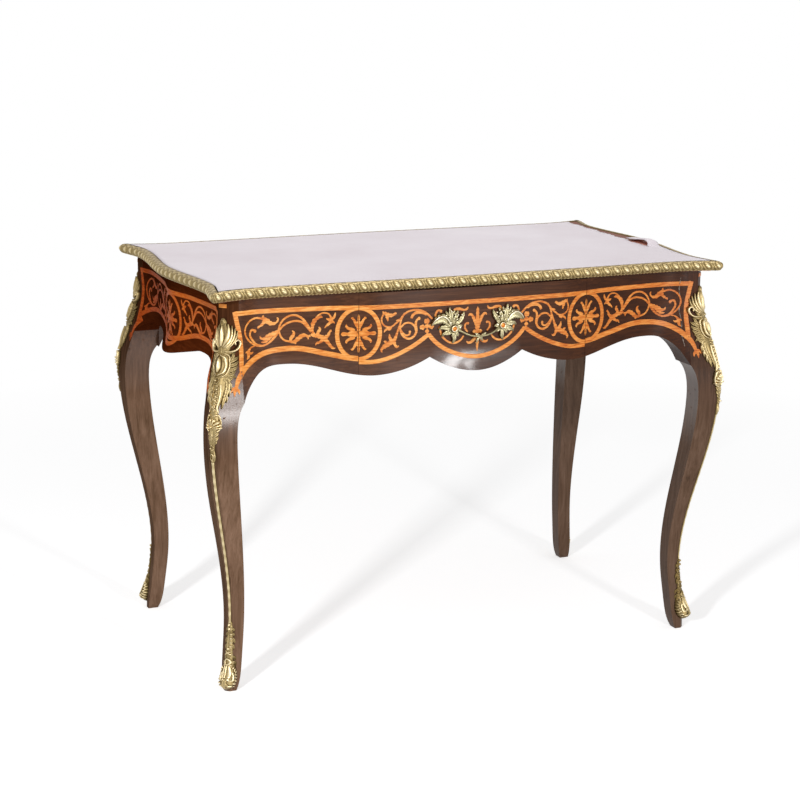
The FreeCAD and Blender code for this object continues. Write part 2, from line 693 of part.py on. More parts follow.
def edge_pins(low, high):
    """Make the pins that hold the moulding to the board's edge."""
    middle = (low + high) / 2
    depth = size("moulding_depth")
    length = depth * 0.75 + size("pin_depth")
    pins = []
    for x in spread(-corner_x * 0.75, corner_x * 0.75, 4):
        start = Vector(x, corner_y + smooth(TOP_FRONT, abs(x)) - depth * 0.25, middle)
        pins.append(Part.makeCylinder(size("pin_radius"), length, start, Vector(0, -1, 0)))
    for y in spread(-corner_y * 0.6, corner_y * 0.6, 2):
        start = Vector(corner_x + smooth(TOP_END, abs(y)) - depth * 0.25, y, middle)
        pins.append(Part.makeCylinder(size("pin_radius"), length, start, Vector(-1, 0, 0)))
    back_and_right = Part.makeCompound(pins)
    return Part.makeCompound([back_and_right, mirror_x(mirror_y(back_and_right))])


board_top = frieze_top + size("board_thickness")
moulding_low = size("table_height") - size("moulding_height")
pins = edge_pins(max(moulding_low, frieze_top), board_top)
ring = moulding_ring(moulding_low, size("table_height"), size("moulding_depth")).cut(pins)
ear_x = corner_x + size("top_ear_x")
ear_y = corner_y + size("top_ear_y")
out = size("moulding_depth") * 3
inward = size("moulding_depth") * 4
back_wedge = mitre_wedge(((-ear_x - out, ear_y + out), (ear_x + out, ear_y + out),
                          (ear_x - inward, ear_y - inward), (-ear_x + inward, ear_y - inward)))
right_wedge = mitre_wedge(((ear_x + out, ear_y + out), (ear_x + out, -ear_y - out),
                           (ear_x - inward, -ear_y + inward), (ear_x - inward, ear_y - inward)))
keep_shape("edge_moulding_back", ring.common(back_wedge))
keep_shape("edge_moulding_front", ring.common(mirror_y(back_wedge)))
keep_shape("edge_moulding_right", ring.common(right_wedge))
keep_shape("edge_moulding_left", ring.common(mirror_x(right_wedge)))
keep_shape("edge_moulding_pins", pins)
leather_inset = size("moulding_depth") + size("leather_gap")
keep_shape("leather_top", top_plate(leather_inset, board_top, size("table_height")))
board = top_plate(size("moulding_depth"), frieze_top, board_top).cut(pins)

# Front rails, T-shaped in plan: the stem fills the gap between the frieze pieces.
T_PLAN = (
    ("-%s" % JOINT_X, "-%s" % JOINT_Y),
    ("-Sizes.drawer_half_width", "-%s" % JOINT_Y),
    ("-Sizes.drawer_half_width", "-%s" % RAIL_FRONT),
    ("Sizes.drawer_half_width", "-%s" % RAIL_FRONT),
    ("Sizes.drawer_half_width", "-%s" % JOINT_Y),
    (JOINT_X, "-%s" % JOINT_Y),
    (JOINT_X, "-%s" % RAIL_BACK),
    ("-%s" % JOINT_X, "-%s" % RAIL_BACK),
)
bearer = padded("bearer_plank", "XY_Plane", T_PLAN, "Sizes.rail_thickness")
bearer.setExpression("Placement.Base.z", RUNNER_LOW)
keep("front_bearer_rail", bearer)
top_rail_plank = padded("top_rail_plank", "XY_Plane", T_PLAN, "Sizes.rail_thickness")
top_rail_plank.setExpression("Placement.Base.z", KICKER_LOW)

# Runners, guides and kickers, from the front rails to the back frieze.
RUN_LENGTH = "(%s + %s)" % (RAIL_BACK, JOINT_Y)
kicker_planks = {}
for side, sign in (("left", -1), ("right", 1)):
    runner_x = "-%s" % GUIDE_OUT if sign < 0 else "%s - Sizes.runner_width" % GUIDE_OUT
    guide_x = "-%s" % GUIDE_OUT if sign < 0 else GUIDE_IN
    runner_size = ("Sizes.runner_width", RUN_LENGTH, "Sizes.rail_thickness")
    keep("drawer_runner_" + side,
         block("runner_" + side, runner_size, (runner_x, "-%s" % RAIL_BACK, RUNNER_LOW)))
    keep("drawer_guide_" + side,
         block("guide_" + side, ("Sizes.guide_width", RUN_LENGTH, "Sizes.guide_height"),
               (guide_x, "-%s" % RAIL_BACK, RUNNER_TOP)))
    kicker_planks[side] = block("kicker_" + side, runner_size, (runner_x, "-%s" % RAIL_BACK, KICKER_LOW))
doc.recompute()


def top_screw(x, y):
    """Make a screw that holds the top from below, with its head let into the wood."""
    foot = Vector(x, y, value(KICKER_LOW))
    head = Part.makeCone(size("screw_head_radius"), size("screw_radius"), size("screw_head_radius"), foot)
    shank_length = size("rail_thickness") + size("screw_grip")
    return head.fuse(Part.makeCylinder(size("screw_radius"), shank_length, foot)).removeSplitter()


rail_middle = -(joint_y - size("rail_depth") / 2)
kicker_middle = value(GUIDE_OUT) - size("runner_width") / 2
screw_places = [(x, rail_middle) for x in spread(-joint_x * 0.75, joint_x * 0.75, 4)]
screw_places += [(x, y) for x in (-kicker_middle, kicker_middle) for y in (0.0, joint_y * 0.75)]
screws = Part.makeCompound([top_screw(x, y) for x, y in screw_places])
keep_shape("top_screws", screws)
keep_shape("top_board", board.cut(screws))
keep_shape("front_top_rail", top_rail_plank.Shape.cut(screws))
for side, plank in kicker_planks.items():
    keep_shape("drawer_kicker_" + side, plank.Shape.cut(screws))


def corner_block(high):
    """Make the triangular block behind a leg, at the back right corner."""
    leg_length = size("block_leg")
    low = value(RUNNER_TOP)
    corners = [(joint_x, joint_y), (joint_x - leg_length, joint_y), (joint_x, joint_y - leg_length)]
    return Part.Face(section(corners, low)).extrude(Vector(0, 0, high - low))


back_block = corner_block(frieze_top)
front_block = mirror_y(corner_block(value(KICKER_LOW)))
blocks = [back_block, mirror_x(back_block), front_block, mirror_x(front_block)]
keep_shape("corner_blocks", Part.makeCompound(blocks))


# The drawer: a shaped front, dovetailed sides, a back, and a bottom held in grooves.
def dovetails():
    """Make the tails of the right drawer side, which fit in the back of the drawer front."""
    back = -size("drawer_seat")
    low = value(BOTTOM_TOP)
    pitch = (value(BOX_TOP) - low) / 3
    tails = []
    for index in range(3):
        middle = low + pitch * (index + 0.5)
        half = pitch * 0.25
        spread_out = pitch * 0.08
        front = back - size("tail_length")
        outline = [(back, middle - half), (front, middle - half - spread_out),
                   (front, middle + half + spread_out), (back, middle + half)]
        face = Part.Face(polygon([Vector(value(SIDE_IN), y, z) for y, z in outline]))
        tails.append(face.extrude(Vector(size("drawer_side_thickness"), 0, 0)))
    return tails


SIDE_PROFILE = (
    (SIDE_OUT, BOX_LOW),
    (SIDE_OUT, BOX_TOP),
    (SIDE_IN, BOX_TOP),
    (SIDE_IN, BOTTOM_TOP),
    ("(%s + Sizes.groove_depth)" % SIDE_IN, BOTTOM_TOP),
    ("(%s + Sizes.groove_depth)" % SIDE_IN, BOTTOM_LOW),
    (SIDE_IN, BOTTOM_LOW),
    (SIDE_IN, BOX_LOW),
)
side_plank = padded("drawer_side_plank", "XZ_Plane", SIDE_PROFILE, DRAWER_DEPTH, reverse=True)
side_plank.setExpression("Placement.Base.y", "-Sizes.drawer_seat")
doc.recompute()
drawer_side = side_plank.Shape
for tail in dovetails():
    drawer_side = drawer_side.fuse(tail)
drawer_side = drawer_side.removeSplitter()
keep_shape("drawer_side_right", drawer_side)
keep_shape("drawer_side_left", mirror_x(drawer_side))
INSIDE_WIDTH = "(2 * %s)" % SIDE_IN
keep("drawer_back",
     block("back_plank", (INSIDE_WIDTH, "Sizes.drawer_back_thickness", "(%s - %s)" % (BOX_TOP, BOTTOM_TOP)),
           ("-%s" % SIDE_IN, "(%s - Sizes.drawer_back_thickness)" % DRAWER_BACK_FACE, BOTTOM_TOP)))
drawer_bottom = keep(
    "drawer_bottom",
    block("bottom_panel",
          ("(%s + 2 * Sizes.groove_depth)" % INSIDE_WIDTH, "(%s + Sizes.groove_depth)" % DRAWER_DEPTH,
           "Sizes.bottom_thickness"),
          ("-(%s + Sizes.groove_depth)" % SIDE_IN, "-(Sizes.drawer_seat + Sizes.groove_depth)", BOTTOM_LOW)))
doc.recompute()

drawer_edge = size("drawer_half_width") - size("drawer_gap")
drawer_front = slab_part(
    front_slab,
    (-drawer_edge, -BEYOND, 0.0),
    (drawer_edge, -size("drawer_seat"), frieze_top - size("drawer_top_gap")))
for tail in dovetails():
    drawer_front = drawer_front.cut(tail).cut(mirror_x(tail))
drawer_front = drawer_front.cut(drawer_bottom.Shape)

# The handle: two roses with outer leaves, joined by a hanging bar.
rose_height = frieze_top - size("rose_drop")
front_level = corner_y + smooth(FRONT_PLAN, size("rose_x"))


def dome(x):
    """Make a rose: a round cap on the drawer front, rooted a little in the wood."""
    proud = size("rose_proud")
    radius = (size("rose_radius") ** 2 + proud ** 2) / (2 * proud)
    ball = Part.makeSphere(radius, Vector(x, -front_level - proud + radius, rose_height))
    reach = 2 * size("rose_radius")
    low = (x - reach, -front_level - reach, rose_height - reach)
    high = (x + reach, -front_level + SINK, rose_height + reach)
    return ball.common(box_between(low, high))


def leaf_plate(root, tip, width):
    """Make a leaf: a plate between two arcs, rooted a little in the wood."""
    middle = (root + tip) * 0.5
    one_edge = Part.Arc(root, middle + width, tip).toShape()
    other_edge = Part.Arc(tip, middle - width, root).toShape()
    face = Part.Face(Part.Wire([one_edge, other_edge]))
    return face.extrude(Vector(0, size("leaf_proud") + SINK * 2, 0))


def outer_leaf():
    """Make the leaf that points outwards from the right rose."""
    root = Vector(size("leaf_x") - size("leaf_length"), -front_level - size("leaf_proud"), rose_height)
    tip = Vector(size("leaf_x") + size("leaf_length"), root.y, rose_height + 2 * size("leaf_rise"))
    return leaf_plate(root, tip, Vector(0, 0, size("leaf_width")))


def crest_leaf():
    """Make the leaf that stands on the right rose."""
    root = Vector(size("rose_x"), -front_level - size("leaf_proud"), rose_height)
    tip = root + Vector(0, 0, size("crest_height"))
    return leaf_plate(root, tip, Vector(size("crest_width"), 0, 0))


def make_handle():
    """Join the handle's castings: the bar hangs from rose to rose and stands off the drawer front."""
    bar_level = -(front_level + size("finger_gap") + size("bar_radius"))
    ends = [Vector(sign * size("rose_x"), bar_level + size("bar_radius"), rose_height) for sign in (-1, 1)]
    middle = Vector(0, bar_level, rose_height - size("bar_sag"))
    path = Part.Wire(Part.Arc(ends[0], middle, ends[1]).toShape())
    tangent = path.Edges[0].tangentAt(path.Edges[0].FirstParameter)
    ring = Part.Wire(Part.makeCircle(size("bar_radius"), ends[0], tangent))
    handle = path.makePipeShell([ring], True, False)
    for end in ends:
        knuckle = Part.makeSphere(size("bar_radius") * 1.4, end)
        handle = handle.fuse(knuckle).fuse(dome(end.x))
    for leaf in (outer_leaf(), crest_leaf()):
        handle = handle.fuse(leaf).fuse(mirror_x(leaf))
    return handle


def along_y(radius, start, length, x):
    return Part.makeCylinder(radius, length, Vector(x, start, rose_height), Vector(0, 1, 0))


bolt_length = front_level - size("drawer_seat") + size("rose_proud") * 0.5 + size("nut_thickness") * 1.5
bolt_start = -front_level - size("rose_proud") * 0.5
bolts = [along_y(size("bolt_radius"), bolt_start, bolt_length, sign * size("rose_x")) for sign in (-1, 1)]
nuts = [along_y(size("nut_radius"), -size("drawer_seat"), size("nut_thickness"), sign * size("rose_x"))
        for sign in (-1, 1)]
bolts = Part.makeCompound(bolts)
handle = make_handle()
keep_shape("drawer_handle", handle.cut(drawer_front).cut(bolts))
keep_shape("drawer_front", drawer_front.cut(bolts))
keep_shape("handle_bolts", bolts)
keep_shape("handle_nuts", Part.makeCompound(nuts).cut(bolts))

doc.recompute()
for item in doc.Objects:
    if "Invalid" in item.State or "Error" in item.State:
        raise RuntimeError("%s did not compute: %s" % (item.Label, item.State))
for label, piece in pieces.items():
    if piece.Shape.isNull() or not piece.Shape.isValid():
        raise RuntimeError("%s has no valid shape" % label)
    if not piece.Shape.Solids:
        raise RuntimeError("%s has no solid" % label)

os.makedirs("parts", exist_ok=True)
for label, piece in sorted(pieces.items()):
    piece.Shape.exportStep(os.path.join("parts", label + ".step"))
    print("%s: %d solids, %.1f cm3" % (label, len(piece.Shape.Solids), piece.Shape.Volume / 1000.0))
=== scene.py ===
# %% [markdown]
# # A marquetry centre table with gilt brass mounts
# The real table is a serpentine carcase of oak, veneered in dark rosewood and inlaid with satinwood scrolls.
# Cast brass covers its corners, its feet and the edge of its leather top.
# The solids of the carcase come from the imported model, and this lesson dresses them.
# Ornament is modelled here, because its leaves and scrolls are too fine for the solids.

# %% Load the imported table
import math

import bmesh
import bpy
import numpy as np
from mathutils import Matrix, Vector
from mathutils.bvhtree import BVHTree


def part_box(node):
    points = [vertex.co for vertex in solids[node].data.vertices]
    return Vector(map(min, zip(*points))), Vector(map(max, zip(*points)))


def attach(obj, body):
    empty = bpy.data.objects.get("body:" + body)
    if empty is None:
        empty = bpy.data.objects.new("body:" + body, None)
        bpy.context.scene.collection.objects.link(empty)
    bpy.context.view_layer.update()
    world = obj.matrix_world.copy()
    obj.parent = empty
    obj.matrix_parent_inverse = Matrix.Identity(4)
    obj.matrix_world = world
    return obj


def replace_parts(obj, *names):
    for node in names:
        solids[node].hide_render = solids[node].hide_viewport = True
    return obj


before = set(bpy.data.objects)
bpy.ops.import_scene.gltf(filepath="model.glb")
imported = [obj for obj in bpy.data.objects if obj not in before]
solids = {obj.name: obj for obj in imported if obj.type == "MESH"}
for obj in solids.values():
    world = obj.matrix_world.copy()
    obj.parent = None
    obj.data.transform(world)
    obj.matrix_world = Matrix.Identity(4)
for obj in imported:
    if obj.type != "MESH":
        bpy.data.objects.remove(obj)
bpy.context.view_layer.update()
MM = 0.001
rng = np.random.default_rng(7)

# %% [markdown]
# ## Camera
# The photograph was taken from the front, a little to the left, from above the table's top.
# A camera could be placed by eye, but corners of the table with known places give it exactly.
# So the place, the turn and the lens below were fitted to those corners.

# %% Camera
eye = Vector((-1.626, -3.701, 1.412))
turn, dip, roll = (math.radians(a) for a in (-23.30, 13.27, 0.66))
focal_pixels, image_pixels = 2061.0, 800.0

backward = Vector((math.sin(turn) * math.cos(dip), -math.cos(turn) * math.cos(dip), math.sin(dip)))
level = Vector((math.cos(turn), math.sin(turn), 0.0))
upright = backward.cross(level)
across = level * math.cos(roll) + upright * math.sin(roll)
upward = upright * math.cos(roll) - level * math.sin(roll)
camera = bpy.data.objects.new("camera", bpy.data.cameras.new("camera"))
camera.data.sensor_width = 36.0
camera.data.lens = camera.data.sensor_width * focal_pixels / image_pixels
camera.matrix_world = Matrix.Translation(eye) @ Matrix((across, upward, backward)).transposed().to_4x4()
bpy.context.scene.collection.objects.link(camera)
bpy.context.scene.camera = camera
bpy.context.scene.view_settings.view_transform = "Standard"
print("lens", round(camera.data.lens, 2), "mm")

# %% [markdown]
# ## Nodes for the finishes
# Every finish below is a small net of nodes, so one function adds a node, sets it and links it.
# Colours are written as they look on a screen, and another function turns them to linear light.
# A pattern's scale is worked out from the size of its marks in millimetres.

# %% Helpers for the finishes
def linear(hex_colour):
    """Turn a screen colour such as #8E8150 to linear light."""
    parts = [int(hex_colour[i:i + 2], 16) / 255 for i in (1, 3, 5)]
    return [c / 12.92 if c <= 0.04045 else ((c + 0.055) / 1.055) ** 2.4 for c in parts] + [1.0]


def per_mm(size):
    """Give the scale of a pattern whose marks are so many millimetres across."""
    return 1.0 / (size * MM)


def grain_scale(grain, streak_mm, length_mm):
    """Give the scale of a pattern that has one size along an axis of the table and another across it."""
    scale = [per_mm(streak_mm)] * 3
    scale["xyz".index(grain)] = per_mm(length_mm)
    return scale


def add(owner, kind, settings=None, links=None):
    """Add one node with its settings, and link its inputs to outputs, or to the first output of a node."""
    node = owner.node_tree.nodes.new("ShaderNode" + kind)
    for name, value in (settings or {}).items():
        if name == "stops":
            while len(node.color_ramp.elements) < len(value):
                node.color_ramp.elements.new(0.5)
            for stop, (place, hex_colour) in zip(node.color_ramp.elements, value):
                stop.position, stop.color = place, linear(hex_colour)
        elif isinstance(name, str) and hasattr(node, name):
            setattr(node, name, value)
        else:
            node.inputs[name].default_value = value
    for name, source in (links or {}).items():
        output = source.outputs[0] if isinstance(source, bpy.types.Node) else source
        owner.node_tree.links.new(output, node.inputs[name])
    return node


def new_finish(name):
    """Start a finish, and give it with the places on the table that its patterns follow."""
    finish = bpy.data.materials.new(name)
    finish.use_nodes = True
    finish.node_tree.nodes.clear()
    return finish, add(finish, "TexCoord").outputs["Object"]


def show(finish, settings, links):
    """Close a finish with a surface that takes these settings and links."""
    surface = add(finish, "BsdfPrincipled", settings, links)
    add(finish, "OutputMaterial", {}, {"Surface": surface})


def toned(finish, place, figure, tones, fade=None):
    """Colour a figure by its tones, and fade them to other tones along one axis of the table."""
    colour = add(finish, "ValToRGB", {"stops": tones}, {0: figure}).outputs[0]
    if fade is None:
        return colour
    other_tones, axis, none, full = fade
    at = add(finish, "SeparateXYZ", {}, {0: place})
    other = add(finish, "ValToRGB", {"stops": other_tones}, {0: figure})
    share = add(finish, "MapRange", {"From Min": none, "From Max": full}, {"Value": at.outputs[axis]})
    return add(finish, "Mix", {"data_type": "RGBA"}, {0: share, 6: colour, 7: other}).outputs[2]


def mottled(name, mark_mm, detail, tones, settings):
    """Make a plain finish whose colour only wanders between a few tones."""
    finish, place = new_finish(name)
    marks = add(finish, "TexNoise", {"Scale": per_mm(mark_mm), "Detail": detail}, {"Vector": place})
    show(finish, settings, {"Base Color": toned(finish, place, marks, tones)})
    return finish


def new_object(name, data):
    """Put a mesh or a lamp in the scene."""
    made = bpy.data.objects.new(name, data)
    bpy.context.scene.collection.objects.link(made)
    return made


print("helpers ready")

# %% [markdown]
# ## Floor and light
# The table stands on white paper in a studio, with soft boxes on both sides and one overhead.
# A small box on the right is there for the shine on the left knee.
# Two more lamps light the paper alone, so that the legs draw thin soft shadows on it.
# Brighter lamps would burn out the pale leather, so the lamps stay at a plain level.
# The paper is made white for the camera alone, through the light path, and still takes the table's shadow.

# %% Floor
FLOOR_REACH = 60.0
PAPER_GLOW = 0.57
FADE_FROM, FADE_TO = 0.9, 2.4


def to_the_eye(owner):
    """Tell rays from the camera, a mirror or a glass from those that only carry light."""
    path = add(owner, "LightPath")
    found = path.outputs["Is Camera Ray"]
    for kind in ("Is Glossy Ray", "Is Transmission Ray"):
        found = add(owner, "Math", {"operation": "MAXIMUM"}, {0: found, 1: path.outputs[kind]}).outputs[0]
    return found


paper, place = new_finish("white_paper_sweep")
plain = add(paper, "BsdfDiffuse", {"Color": linear("#E4E4E6")})
bright = add(paper, "BsdfDiffuse", {"Color": linear("#FAFAFB")})
glow = add(paper, "Emission", {"Color": linear("#FFFFFF"), "Strength": PAPER_GLOW})
lifted = add(paper, "AddShader", {}, {0: bright, 1: glow})
# The paper fades to plain white away from the table, as it does where the sweep curves up.
reach = add(paper, "VectorMath", {"operation": "LENGTH"}, {0: place})
away = add(paper, "MapRange", {"From Min": FADE_FROM, "From Max": FADE_TO}, {"Value": reach.outputs["Value"]})
sweep = add(paper, "Emission", {"Color": linear("#FFFFFF"), "Strength": 1.0})
faded = add(paper, "MixShader", {}, {0: away, 1: lifted, 2: sweep})
shown = add(paper, "MixShader", {}, {0: to_the_eye(paper), 1: plain, 2: faded})
add(paper, "OutputMaterial", {}, {"Surface": shown})

floor_mesh = bpy.data.meshes.new("floor")
floor_corners = [(x * FLOOR_REACH, y * FLOOR_REACH, 0.0) for x, y in ((-1, -1), (1, -1), (1, 1), (-1, 1))]
floor_mesh.from_pydata(floor_corners, [], [(0, 1, 2, 3)])
floor_mesh.materials.append(paper)
floor = new_object("floor", floor_mesh)
print("floor", 2 * FLOOR_REACH, "m across")

# %% Lamps
AMBIENT = 0.30
room = bpy.data.worlds.new("white_room")
room.use_nodes = True
room.node_tree.nodes.clear()
ambient = add(room, "Background", {"Color": linear("#FFFFFF"), "Strength": AMBIENT})
white = add(room, "Background", {"Color": linear("#FFFFFF"), "Strength": 1.0})
either = add(room, "MixShader", {}, {0: to_the_eye(room), 1: ambient, 2: white})
add(room, "OutputWorld", {}, {"Surface": either})
bpy.context.scene.world = room

# Flags keep the first four lamps off the paper, and the last two light nothing else.
flagged = bpy.data.collections.new("behind_the_flags")
paper_only = bpy.data.collections.new("paper_only")
for lit in (flagged, paper_only):
    lit.objects.link(floor)
flagged.collection_objects[0].light_linking.link_state = "EXCLUDE"
# A lamp has its place, the point that it faces, its width in metres, its watts and what it lights.
# The drawer's lobe mirrors the low fill, and the legs' shadows point away from the paper's lamps.
LAMPS = {
    "key_box": ((-1.5, -3.7, 2.5), (0.0, -0.2, 0.55), 0.45, 78.0, flagged),
    "fill_box": ((1.2, -4.0, 0.55), (-0.04, -0.29, 0.6), 0.8, 46.0, flagged),
    "knee_box": ((1.35, -4.0, 1.40), (-0.5, -0.3, 0.57), 0.40, 13.0, flagged),
    "top_box": ((0.3, 0.8, 3.4), (0.0, 0.0, 0.6), 1.8, 44.0, flagged),
    "paper_left": ((-2.7, -2.6, 1.5), (0.0, 0.0, 0.2), 0.25, 74.0, paper_only),
    "paper_front": ((0.5, -3.7, 1.3), (0.0, 0.0, 0.2), 0.25, 34.0, paper_only),
}
for name, (place, aim, width, watts, lit) in LAMPS.items():
    lamp = new_object(name, bpy.data.lights.new(name, "AREA"))
    lamp.data.shape, lamp.data.size, lamp.data.energy = "SQUARE", width, watts
    lamp.location = place
    lamp.rotation_euler = (Vector(aim) - Vector(place)).to_track_quat("-Z", "Y").to_euler()
    lamp.light_linking.receiver_collection = lit
print("lamps", list(LAMPS))

# %% [markdown]
# ## Rosewood veneer
# The carcase and the legs are veneered in rosewood, sawn thin, glued down and French polished.
# The eye sees a near black brown with lighter streaks along the grain, and a soft shine from the shellac.
# Noise stretched along the grain gives the streaks, and a coat gives the polish over rougher wood.

# %% Rosewood
PORES_PER_STREAK = 4.0


def polished_rosewood(name, grain, tones, shine=0.0, streak_mm=5.0, length_mm=90.0, shellac=None, fade=None,
                      coat_rough=0.17):
    """French polished rosewood, whose grain runs along one axis of the table."""
    wood, place = new_finish(name)
    stretch = grain_scale(grain, streak_mm, length_mm)
    along = add(wood, "Mapping", {"Scale": stretch}, {"Vector": place})
    streaks = add(wood, "TexNoise", {"Scale": 1.0, "Detail": 5.0, "Roughness": 0.62, "Distortion": 0.6},
                  {"Vector": along})
    # Pores are finer than the picture can show, so they are drawn a few times as coarse.
    pore_place = add(wood, "Mapping", {"Scale": [s * PORES_PER_STREAK for s in stretch]}, {"Vector": place})
    pores = add(wood, "TexNoise", {"Scale": 1.0, "Detail": 3.0}, {"Vector": pore_place})
    clouds = add(wood, "TexNoise", {"Scale": per_mm(120.0), "Detail": 2.0}, {"Vector": place})
    figure = add(wood, "Mix", {"data_type": "FLOAT", 0: 0.35}, {2: streaks, 3: clouds})
    figure = add(wood, "Mix", {"data_type": "FLOAT", 0: 0.16}, {2: figure, 3: pores})
    colour = toned(wood, place, figure, tones, fade)
    # Knocks and rubbing leave a few pale scuffs in the polish.
    knocks = add(wood, "TexNoise", {"Scale": per_mm(16.0), "Detail": 8.0, "Roughness": 0.7},
                 {"Vector": place})
    scuffs = add(wood, "MapRange", {"From Min": 0.66, "From Max": 0.76, "To Min": 0.0, "To Max": 0.35},
                 {"Value": knocks})
    worn = add(wood, "Mix", {"data_type": "RGBA", 7: linear("#8A7263")}, {0: scuffs, 6: colour})
    rough = add(wood, "MapRange", {"From Min": 0.3, "From Max": 0.7, "To Min": 0.30, "To Max": 0.48},
                {"Value": clouds})
    bump = add(wood, "Bump", {"Strength": 0.10, "Distance": 0.4 * MM}, {"Height": pores})
    links = {"Base Color": worn.outputs[2], "Roughness": rough, "Normal": bump}
    if shellac:
        # The shellac is still thick in one belt, on faces that look one way, where no hand has rubbed it.
        facing, limits = shellac
        at = add(wood, "SeparateXYZ", {}, {0: place})
        turned = add(wood, "SeparateXYZ", {}, {0: add(wood, "NewGeometry").outputs["Normal"]})
        square_on = add(wood, "Math", {"operation": "ABSOLUTE"}, {0: turned.outputs[facing]})
        shares = [(at.outputs[axis], none, full, least) for axis, none, full, least in limits]
        shares += [(square_on, 0.35, 0.75, 0.0), (knocks, 0.36, 0.40, 0.0)]
        thick = None
        for value, none, full, least in shares:
            share = add(wood, "MapRange", {"From Min": none, "From Max": full, "To Min": least},
                        {"Value": value})
            if thick is not None:
                share = add(wood, "Math", {"operation": "MULTIPLY"}, {0: share, 1: thick})
            thick = share
        links["Coat Weight"] = thick
    show(wood, {"IOR": 1.5, "Specular IOR Level": shine, "Coat Roughness": coat_rough}, links)
    return wood


GROUND_TONES = [(0.28, "#2A160B"), (0.48, "#4A2B19"), (0.62, "#5F3B25"), (0.80, "#775036")]
# The ends get a redder copy of the front's tones, painted for the shade that falls on the ends, and darker
# tones towards the back.
END_TONES = [(0.28, "#441C0A"), (0.48, "#5F2910"), (0.62, "#703617"), (0.80, "#884B22")]
FAR_TONES = [(0.28, "#321307"), (0.48, "#481D0B"), (0.62, "#54250F"), (0.80, "#693415")]
LEG_TONES = [(0.28, "#483421"), (0.46, "#735845"), (0.60, "#886B57"), (0.80, "#9E806C")]
# The right side's two sets of tones below are darker, as painted shade where less light reaches the right.
SHADED_RIGHT_LEG_TONES = [(0.28, "#3B291C"), (0.46, "#5C4535"), (0.60, "#6E5646"), (0.80, "#816959")]
SHADED_RIGHT_TONES = [(0.28, "#1A0A03"), (0.48, "#351909"), (0.62, "#46240E"), (0.80, "#5C3519")]
# A belt has the axis that its faces look along. Its rows have an axis, where along it the shellac is gone,
# where it is whole, and how much is left where it is gone.
APRON_BELT = ("Y", [("Z", 0.634, 0.612, 0.0), ("Z", 0.49, 0.50, 0.0), ("X", 0.094, 0.080, 0.0),
                    ("X", -0.094, -0.080, 0.45)])
KNEE_BELT = ("Y", [("Z", 0.630, 0.575, 0.0), ("Z", 0.460, 0.550, 0.0)])
RIGHT_KNEE_BELT = ("X", [("Z", 0.620, 0.580, 0.0), ("Z", 0.390, 0.470, 0.0)])
# The right side is painted darker, as painted shade where less light reaches it, the ends darken towards the
# back, and the legs turn lighter below the knee.
SHADE_TO_RIGHT, TO_FAR = (SHADED_RIGHT_TONES, "X", -0.12, 0.36), (FAR_TONES, "Y", -0.06, 0.06)
DOWN_LEG, DOWN_RIGHT_LEG = (LEG_TONES, "Z", 0.62, 0.42), (SHADED_RIGHT_LEG_TONES, "Z", 0.62, 0.42)
front_rosewood = polished_rosewood("rosewood_veneer_front", "x", GROUND_TONES, 0.12, shellac=APRON_BELT,
                                   fade=SHADE_TO_RIGHT)
end_rosewood = polished_rosewood("rosewood_veneer_end", "y", END_TONES, fade=TO_FAR)
leg_rosewood = polished_rosewood("rosewood_veneer_leg", "z", GROUND_TONES, 0.0, 7.0, 140.0, KNEE_BELT,
                                 DOWN_LEG, 0.22)
# The right legs take a darker copy of the legs' finish, whose tones are painted shade.
shaded_right_leg_rosewood = polished_rosewood("rosewood_veneer_shaded_right_leg", "z", SHADED_RIGHT_TONES, 0.10, 7.0, 140.0,
                                       RIGHT_KNEE_BELT, DOWN_RIGHT_LEG, 0.30)
print("rosewood finishes", [m.name for m in bpy.data.materials if m.name.startswith("rosewood")])

# %% [markdown]
# ## Satinwood inlay
# The scrolls and bands are satinwood, cut with a fretsaw and let into the rosewood.
# The eye sees a warm orange that shifts from piece to piece, with fine silky grain and darker sanded edges.
# Each piece of inlay carries its own tone and a value that runs across it, and the finish reads both.

# %% Satinwood
def orange_satinwood(name, tones, shine, fade):
    """Satinwood slips, each with its own tone, and with edges darkened in hot sand."""
    slip, place = new_finish(name)
    # Satinwood grain is near 0.5 mm, and is drawn at 2 mm so that it shows.
    fine = add(slip, "Mapping", {"Scale": grain_scale("z", 18.0, 2.0)}, {"Vector": place})
    silk = add(slip, "TexNoise", {"Scale": 1.0, "Detail": 3.0}, {"Vector": fine})
    own_tone = add(slip, "Attribute", {"attribute_name": "tone"})
    mottle = add(slip, "MapRange", {"From Min": 0.34, "From Max": 0.66}, {"Value": silk})
    tone = add(slip, "Mix", {"data_type": "FLOAT", 0: 0.5}, {2: own_tone.outputs["Fac"], 3: mottle})
    side = add(slip, "Attribute", {"attribute_name": "side"})
    scorch = add(slip, "MapRange", {"From Min": 0.55, "From Max": 1.0, "To Min": 0.0, "To Max": 0.28},
                 {"Value": side.outputs["Fac"]})
    shaded = add(slip, "Mix", {"data_type": "RGBA", 7: linear("#7A3410")},
                 {0: scorch, 6: toned(slip, place, tone, tones, fade)})
    show(slip, {"IOR": 1.5, "Roughness": 0.38, "Specular IOR Level": shine},
         {"Base Color": shaded.outputs[2]})
    return slip


INLAY_TONES = [(0.15, "#BE5E1C"), (0.45, "#E28B3A"), (0.76, "#F7B060")]
# The front's slips turn to these darker tones towards the right, as painted shade.
SHADED_RIGHT_INLAY_TONES = [(0.15, "#A04A14"), (0.45, "#C86E28"), (0.78, "#E09044")]
